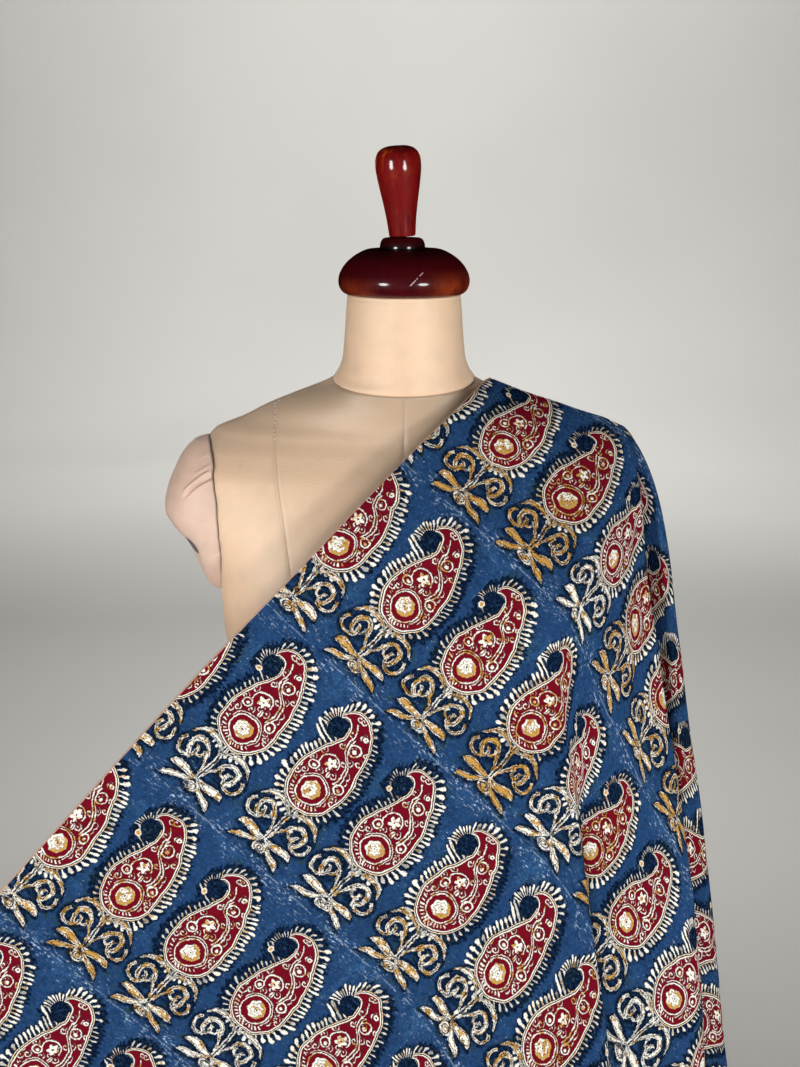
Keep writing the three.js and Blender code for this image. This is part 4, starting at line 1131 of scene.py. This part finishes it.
# ---- finishes of the form ------------------------------------------------------------------
def satin(name, base, flush, seams):
    """Satin: a warp-faced weave whose fine lines catch the light, slightly uneven in colour, dark at its
    seams.
    Painted shade darkens the tops of the shoulders and the seam round the bare cap."""
    bench = Bench(name)
    where = bench.on_object()
    x, y, z = bench.parts(where)
    cloudy = bench.noise(where, 7.0, 3.0, 0.55)
    mottle = bench.noise(where, 60.0, 3.0, 0.6)
    colour_now = bench.paint(base, flush, cloudy.ramp(0.35, 0.7))
    colour_now = bench.paint(colour_now, scaled(base, 0.72), mottle.ramp(0.42, 0.75) * 0.28)
    rise = (x * (2 * np.pi / 0.0007)).math("SINE") * (z * (2 * np.pi / 0.0009)).math("SINE")
    slub = bench.noise(bench.vector("MULTIPLY", where, (1.0, 1.0, 14.0)), 90.0, 2.0, 0.6)
    height = rise * 0.12 + slub * 0.8 + bench.noise(where, 900.0, 1.0, 0.5) * 0.5
    if seams:
        side = abs(x) * 1000
        up = z * 1000
        princess = abs(side - up.curve(FRONT_SEAM["z"][:-1], FRONT_SEAM["x"][:-1])).high(y * 1000 + 8)
        centre = side.high(y * 1000 + 8)
        line = princess.low(centre).inside(0.28, 0.5)
        wide_line = princess.low(centre).inside(3.5, 7.0)
        colour_now = bench.paint(colour_now, scaled(base, 0.35), line * 0.6)
        colour_now = bench.paint(colour_now, scaled(base, 0.8), wide_line * 0.25)
        height = height - line * 1.6
        # Painted shade: the satin is darkened along the tops of the shoulders, which face up and away from
        # the lamps.
        painted_shoulder_shade = z.ramp(0.585, 0.660) * z.ramp(0.676, 0.664) * 0.9
        colour_now = bench.paint(colour_now, scaled(base, 0.55), painted_shoulder_shade)
    else:
        # A smear of blue-black ink low on the side of the bare cap.
        bare, up = x.ramp(-0.1, -0.12), z * 1000
        down, out = x * 600 - up * 0.8 + 535.0, x * 800 + up * 0.6 - 172.5
        smear = (down * down / 81 + out * out / 7 + (mottle - 0.5) * 2.6).ramp(1.1, 0.6) * y.ramp(0.0, -0.004)
        colour_now = bench.paint(colour_now, (0.012, 0.014, 0.045), smear * bare * 0.85)
        # Painted shade: the cap's satin darkens towards its seam round the plate, where it meets the torso.
        levels = np.linspace(486, 622, 46)
        from_seam = x * -1000 - up.curve(levels, plate_at(levels) - drawn_in(levels))
        painted_seam_shade = from_seam.ramp(2.2, 0.6) * bare * (mottle * 0.8 + 0.35).low(1.0)
        colour_now = bench.paint(colour_now, scaled(base, 0.16), painted_seam_shade)
    bump = bench.bump(height, 0.30, 0.0006)
    rough = cloudy.ramp(0.3, 0.7, 0.42, 0.52)
    return bench.finish(
        Base_Color=colour_now, Roughness=rough, Normal=bump, Sheen_Weight=0.12, Specular_IOR_Level=0.45
    )


def stained_wood(wood):
    """Turned wood, stained maroon under clear varnish: grain runs up the piece, the stain is thin and
    orange where the tool slipped off the round parts, and a few scratches cross it. Painted shade darkens the
    collar and the handle's top, and a short pale dash on the dome's front is a painted highlight."""
    bench = Bench("stained_wood")
    where = bench.on_object()
    x, y, z = bench.parts(where)
    grain = bench.noise(bench.vector("MULTIPLY", where, (1.0, 1.0, 0.10)), 330.0, 3.0, 0.65)
    patch = bench.noise(bench.vector("MULTIPLY", where, (1.0, 1.0, 0.55)), 38.0, 2.0, 0.5)
    fleck = bench.noise(bench.vector("MULTIPLY", where, (1.0, 1.0, 0.4)), 210.0, 2.0, 0.6)
    handle = z.ramp(0.789, 0.796)
    rim = z.ramp(0.768, 0.752) * x.ramp(0.010, 0.048) * 0.62
    rim = rim.high(z.ramp(0.762, 0.750) * x.ramp(-0.020, -0.045) * 0.4)
    upper = z.ramp(0.835, 0.858)
    colour_now = bench.paint(wood.dark, wood.light, handle.low(0.62) + patch.ramp(0.42, 0.68) * handle * 0.35)
    thin = fleck.ramp(0.52, 0.66) * (upper * x.ramp(0.008, -0.014) * 0.8 + handle * 0.10)
    thin = thin.high(rim * patch.ramp(0.30, 0.55))
    colour_now = bench.paint(colour_now, (0.33, 0.050, 0.008), thin.low(0.85))
    colour_now = bench.paint(colour_now, (0.006, 0.0007, 0.001), grain.ramp(0.50, 0.78) * 0.65)
    # Painted shade: near black over the collar and the dome's top round it, where the handle stands, and on
    # the handle's very top.
    hollows = (z.ramp(0.794, 0.788) * z.ramp(0.774, 0.779)).high(z.ramp(0.862, 0.868)) * 0.6
    colour_now = bench.paint(colour_now, (0.008, 0.001, 0.002), hollows)
    scratch = bench.noise(bench.vector("MULTIPLY", where, (0.6, 1.0, 3.0)), 150.0, 1.0, 0.5)
    # Painted highlight: a short pale pink dash on the front of the dome, a little right of the middle.
    cut = (abs(x - 0.0105 - (z - 0.7605) * 1.0) - 0.0005).high(abs(z - 0.7605) - 0.0052).high(y + 0.02)
    cut = cut.high((fleck - 0.56) * 0.02)
    painted_glint = cut.ramp(0.0004, -0.0002)
    colour_now = bench.paint(colour_now, (0.55, 0.36, 0.38), painted_glint * 0.75)
    height = bench.noise(where, 55.0, 2.0, 0.5)
    bump = bench.bump(height, 0.15, 0.001)
    coat = scratch.ramp(0.5, 0.72, 0.55, 0.38)
    return bench.finish(
        Base_Color=colour_now,
        Roughness=0.5,
        Normal=bump,
        Specular_IOR_Level=0.05,
        Coat_Weight=coat,
        Coat_Roughness=0.12,
    )


def plain_thread(base):
    """White cotton thread: a fine noise for its twist, in its colour and its bumps."""
    bench = Bench("basting_thread")
    where = bench.on_object()
    twist = bench.noise(where, 1500.0, 1.0, 0.5)
    bump = bench.bump(twist, 0.4, 0.0003)
    tone = bench.paint(base, scaled(base, 0.8), twist)
    return bench.finish(Base_Color=tone, Roughness=0.8, Normal=bump)


# ---- the studio ----------------------------------------------------------------------------
# The camera's angle from straight down, its sensor, and the lens and sideways shift over the image's height.
CAMERA_TILT, SENSOR, FOCUS, ASIDE, IMAGE_HIGH = 77.8, 36, 1860, 4, 1067
# How far the floor reaches to each side, and the radius of its sweep, in metres.
ROOM, SWEEP = 6.0, 1.6
# Lamps: name, place, size, what they point at, power and spread in degrees.
LAMPS = (
    ("left lamp", (-1.25, -1.9, 0.32), 0.5, (0, 0, 0.6), 20.5, 180),
    ("right lamp", (1.15, -1.9, 0.32), 0.5, (0, 0, 0.6), 21.5, 180),
    ("front lamp", (-0.1, -2.5, 0.16), 0.9, (0, 0, 0.5), 32.0, 180),
    ("left fill", (-2.2, -0.8, 0.2), 1.2, (0, 0, 0.5), 23.0, 180),
    ("right fill", (2.2, -0.8, 0.2), 1.2, (0, 0, 0.5), 27.0, 180),
    ("left glint", (-1.2, -1.7, 0.78), 0.60, (0, 0, 0.8), 34.0, 180),
    ("right glint", (1.12, -1.7, 0.78), 0.60, (0, 0, 0.8), 34.0, 180),
    ("upper backdrop lamp", (0.0, 2.8, 3.0), 2.2, (0, 5.0, 2.2), 105.0, 180),
    ("lower backdrop lamp", (0.2, 2.7, 2.6), 3.0, (0.2, 2.7, 0.0), 22.0, 90),
    ("floor lamp", (0.0, 1.0, 1.9), 0.8, (0, 0.6, 0.0), 5.5, 80),
)


# ---- operators -----------------------------------------------------------------------------
class MakeTorso(bpy.types.Operator):
    """Makes the torso and the neck of the dress form in seamed satin"""

    bl_idname = "kalamkari.torso"
    bl_label = "Torso and neck"

    def execute(self, context):
        form = context.scene.form_settings
        cover = satin("form_satin", form.cover, scaled(form.cover, 1.05, 0.96, 0.97), True)
        torso = new_piece("torso_cover", *closed_loft(torso_rings(form.seam / MM)), cover, slot="form_cover")
        neck_cover = satin("neck_satin", form.cover, scaled(form.cover, 1.04, 0.96, 0.95), False)
        rings = neck_rings(form.seam / MM)
        neck = new_piece("neck_cover", *closed_loft(rings), neck_cover, slot="form_cover")
        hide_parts("form_torso")
        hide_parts("form_neck")
        return {"FINISHED"}


class MakeArmCaps(bpy.types.Operator):
    """Makes the two stuffed arm caps; the bare one has slipped and tapers"""

    bl_idname = "kalamkari.arm_caps"
    bl_label = "Arm caps"

    def execute(self, context):
        form = context.scene.form_settings
        material = satin("cap_satin", form.cap, scaled(form.cap, 1.06, 0.95, 0.94), False)
        ways = {"slot": "arm_cap_cover", "corner": 55}
        bare = new_piece("bare_arm_cap", *closed_loft(cap_rings(-1, BARE_CAP, 1)), material, **ways)
        covered = new_piece("covered_arm_cap", *closed_loft(cap_rings(1, ROUND_CAP, 0)), material, **ways)
        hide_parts("arm_cap_open")
        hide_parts("arm_cap_under_cloth")
        return {"FINISHED"}


class MakeWood(bpy.types.Operator):
    """Turns the neck cap, the collar and the handle in stained wood"""

    bl_idname = "kalamkari.wood"
    bl_label = "Wooden cap and handle"

    def execute(self, context):
        material = stained_wood(context.scene.wood_settings)
        dome = (
            (30, 743.9), (44, 743.9), (48.6, 744.2), (51.8, 745.5), (54.4, 748.4), (55.9, 752.2),
            (56.2, 755.8), (55.6, 759.8), (53.8, 764.2), (50.8, 768.9), (46.6, 773.3), (41.1, 777.4),
            (35, 780.6), (30, 782.1), (26.4, 782.0), (23.6, 780.0), (21.4, 777.2), (18.6, 776.2),
            (12, 775.8),
        )
        collar = (
            (11, 776.3), (15.5, 776.5), (17.8, 777.9), (19.1, 780.7), (19.3, 784), (18.6, 787.8),
            (17, 790.4), (15, 791.5), (13.4, 791.6), (10, 791.6),
        )
        handle = (
            (9.5, 0), (10.7, 0.1), (11.1, 0.7), (11.4, 3), (11.8, 7), (12.6, 14.5), (14.4, 26.5),
            (16.6, 38.5), (18.5, 50), (19.4, 58), (19.2, 64), (17.8, 69.0), (14.8, 72.8), (10, 75.1),
            (5, 75.9), (1.5, 76.0),
        )
        pieces = (
            ("dome", "wood_cap", dome, 90),
            ("collar", "wood_collar", collar, 40),
            ("handle", "wood_handle", handle, 110),
        )
        for name, node, profile, steps in pieces:
            rings = turned(profile, AROUND_WOOD, steps)
            if name == "handle":
                x, y, z = np.moveaxis(rings, -1, 0)
                cos, sin = np.cos(HANDLE_LEANS), np.sin(HANDLE_LEANS)
                rings = np.stack([x * cos + z * sin, y, z * cos - x * sin + HANDLE_FOOT], -1)
            if name != "dome":
                rings = rings - (OFF_CENTRE, 0, 0)
            piece = new_piece("turned_" + name, *closed_loft(rings), material, slot="stained_wood")
            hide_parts(node)
        return {"FINISHED"}


class MakeStitches(bpy.types.Operator):
    """Sews the white basting stitches over the top of the bare princess seam"""

    bl_idname = "kalamkari.stitches"
    bl_label = "Basting stitches"

    def execute(self, context):
        z = np.array(STITCHES)
        turn = seam_turns(z)[:, BARE_FRONT_SEAM]
        at = torso_point(turn, z)
        beside = torso_point(turn + 0.012, z) - torso_point(turn - 0.012, z)
        below = torso_point(turn, z - 1) - at
        beside, below = (v / np.linalg.norm(v, axis=1, keepdims=True) for v in (beside, below))
        up = np.cross(beside, below)
        up = up / np.linalg.norm(up, axis=1, keepdims=True)
        up = up * np.where(up[:, 1:2] > 0, -1, 1)
        rng = np.random.default_rng(SEED)
        slant = rng.uniform(-0.9, 0.9, (len(z), 1))
        way = beside * slant + below * (1.1 - np.abs(slant))
        way = way / np.linalg.norm(way, axis=1, keepdims=True)
        at = at + up * 0.1 + beside * rng.uniform(-0.6, 0.6, (len(z), 1))
        rings = stitch_points(at, way, up, STITCH_LONG, STITCH_THIN)
        points, faces = [], []
        for k, one in enumerate(rings):
            more, parts = closed_loft(one)
            faces += [part + k * len(more) for part in parts]
            points.append(more)
        thread = plain_thread(context.scene.form_settings.thread)
        new_piece("basting_stitches", np.concatenate(points), faces, thread)
        return {"FINISHED"}


class MakeCloth(bpy.types.Operator):
    """Lays the printed cotton over the shoulder, with its pleat, folds and soft creases"""

    bl_idname = "kalamkari.cloth"
    bl_label = "Kalamkari cloth"

    def execute(self, context):
        cloth = context.scene.cloth_settings
        angles = np.concatenate([np.linspace(*part, endpoint=False) for part in LINES])
        points, a, b = cloth_grid(angles)
        points = creased(points, a, b, cloth.crease)
        rows, columns = points.shape[:2]
        column, row = print_place(a, b)
        centre_place = print_place(np.array(TIP_PAST_NECK), np.array(TIP_TO_EDGE))
        maps = {
            "print": np.concatenate([np.stack([column, row], -1).reshape(-1, 2), [centre_place]]),
            "threads": np.concatenate([np.stack([b, a], -1).reshape(-1, 2), [(TIP_TO_EDGE, TIP_PAST_NECK)]]),
        }
        grid = quads(rows, columns)[:, ::-1]
        faces = [grid, fan(rows * columns, np.arange(columns))]
        everything = np.concatenate([points.reshape(-1, 3), [(TIP[0], 0, TIP[1])]])
        printed = kalamkari(cloth)
        piece = new_piece("draped_cotton", everything, faces, printed, maps=maps, slot="printed_cotton")
        wall = piece.modifiers.new("thickness", "SOLIDIFY")
        wall.thickness = cloth.thick
        wall.offset = 0
        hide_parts("kalamkari_cloth")
        spread = float(a.max() - a.min()) * MM, float(b.max() - b.min()) * MM
        return {"FINISHED"}


class MakeStudio(bpy.types.Operator):
    """Sets the camera, the swept pale backdrop and the soft lamps"""

    bl_idname = "kalamkari.studio"
    bl_label = "Studio"

    def execute(self, context):
        studio = context.scene.studio_settings
        scene = context.scene
        camera = bpy.data.objects.new("camera", bpy.data.cameras.new("camera"))
        scene.collection.objects.link(camera)
        camera.location = (0, -studio.distance, studio.height)
        camera.rotation_euler = (CAMERA_TILT * RAD, 0, 0)
        camera.data.sensor_width = SENSOR
        camera.data.lens = SENSOR * FOCUS / IMAGE_HIGH
        camera.data.shift_x = -ASIDE / IMAGE_HIGH
        scene.camera = camera
        # The floor sweeps up on a quarter circle into the backdrop, just below the surface it stands for.
        bend = np.linspace(0, np.pi / 2, 60)
        y = np.concatenate([[-ROOM], 3.4 + SWEEP * np.sin(bend), [5.0]])
        z = np.concatenate([[0.0], SWEEP - SWEEP * np.cos(bend), [4.6]])
        strip = np.stack([np.stack([x + 0 * y, y, z - 0.0002], -1) for x in (-ROOM, ROOM)], 1) / MM
        bench = Bench("pale_paper")
        where = bench.on_object()
        cloudy = bench.noise(where, 1.1, 2.0, 0.5)
        tone = bench.paint(studio.floor, scaled(studio.floor, 0.94), cloudy.ramp(0.35, 0.65))
        paper = bench.finish(Base_Color=tone, Roughness=0.9, Specular_IOR_Level=0.2)
        mesh = bpy.data.meshes.new("sweep")
        mesh.from_pydata((strip.reshape(-1, 3) * MM).tolist(), [], quads(len(y), 2, closed=False).tolist())
        mesh.materials.append(paper)
        mesh.shade_smooth()
        sweep = bpy.data.objects.new("sweep", mesh)
        scene.collection.objects.link(sweep)
        sweep.visible_glossy = False
        for name, place, size, target, power, spread in LAMPS:
            light = bpy.data.lights.new(name, "AREA")
            light.shape, light.size, light.energy, light.spread = "DISK", size, power, spread * RAD
            lamp = bpy.data.objects.new(name, light)
            scene.collection.objects.link(lamp)
            lamp.location = place
            lamp.rotation_euler = (Vector(target) - Vector(place)).to_track_quat("-Z", "Y").to_euler()
            # The varnish shows the two glints only; the other lamps light the cloth and the form.
            lamp.visible_glossy = "glint" in name
            lamp.visible_diffuse = "glint" not in name
            lamp.visible_camera = False
        world = bpy.data.worlds.new("studio")
        world.use_nodes = True
        world.node_tree.nodes["Background"].inputs["Color"].default_value = (1.0, 0.985, 0.96, 1)
        world.node_tree.nodes["Background"].inputs["Strength"].default_value = 0.06
        scene.world = world
        world.cycles_visibility.glossy = False
        scene.view_settings.view_transform = "Standard"
        return {"FINISHED"}


class KalamkariPanel(bpy.types.Panel):
    """The pieces, in the order that they are made"""

    bl_idname = "VIEW3D_PT_kalamkari"
    bl_label = "Kalamkari cloth"
    bl_space_type = "VIEW_3D"
    bl_region_type = "UI"
    bl_category = "Kalamkari"

    def draw(self, context):
        for name, names in SETTINGS.items():
            box = self.layout.box()
            for prop in names.__annotations__:
                box.prop(getattr(context.scene, name), prop)
        for operator in OPERATORS:
            self.layout.operator(operator.bl_idname)


SETTINGS = {
    "cloth_settings": ClothSettings,
    "form_settings": FormSettings,
    "wood_settings": WoodSettings,
    "studio_settings": StudioSettings,
}
OPERATORS = (MakeTorso, MakeArmCaps, MakeWood, MakeStitches, MakeCloth, MakeStudio)


def register():
    for kind in (*SETTINGS.values(), *OPERATORS, KalamkariPanel):
        bpy.utils.register_class(kind)
    for name, kind in SETTINGS.items():
        setattr(bpy.types.Scene, name, PointerProperty(type=kind))


def unregister():
    for name in SETTINGS:
        delattr(bpy.types.Scene, name)
    for kind in reversed((*SETTINGS.values(), *OPERATORS, KalamkariPanel)):
        bpy.utils.unregister_class(kind)


def main():
    register()
    bpy.ops.kalamkari.torso()
    bpy.ops.kalamkari.arm_caps()
    bpy.ops.kalamkari.wood()
    bpy.ops.kalamkari.stitches()
    bpy.ops.kalamkari.cloth()
    bpy.ops.kalamkari.studio()


if __name__ == "__main__":
    main()
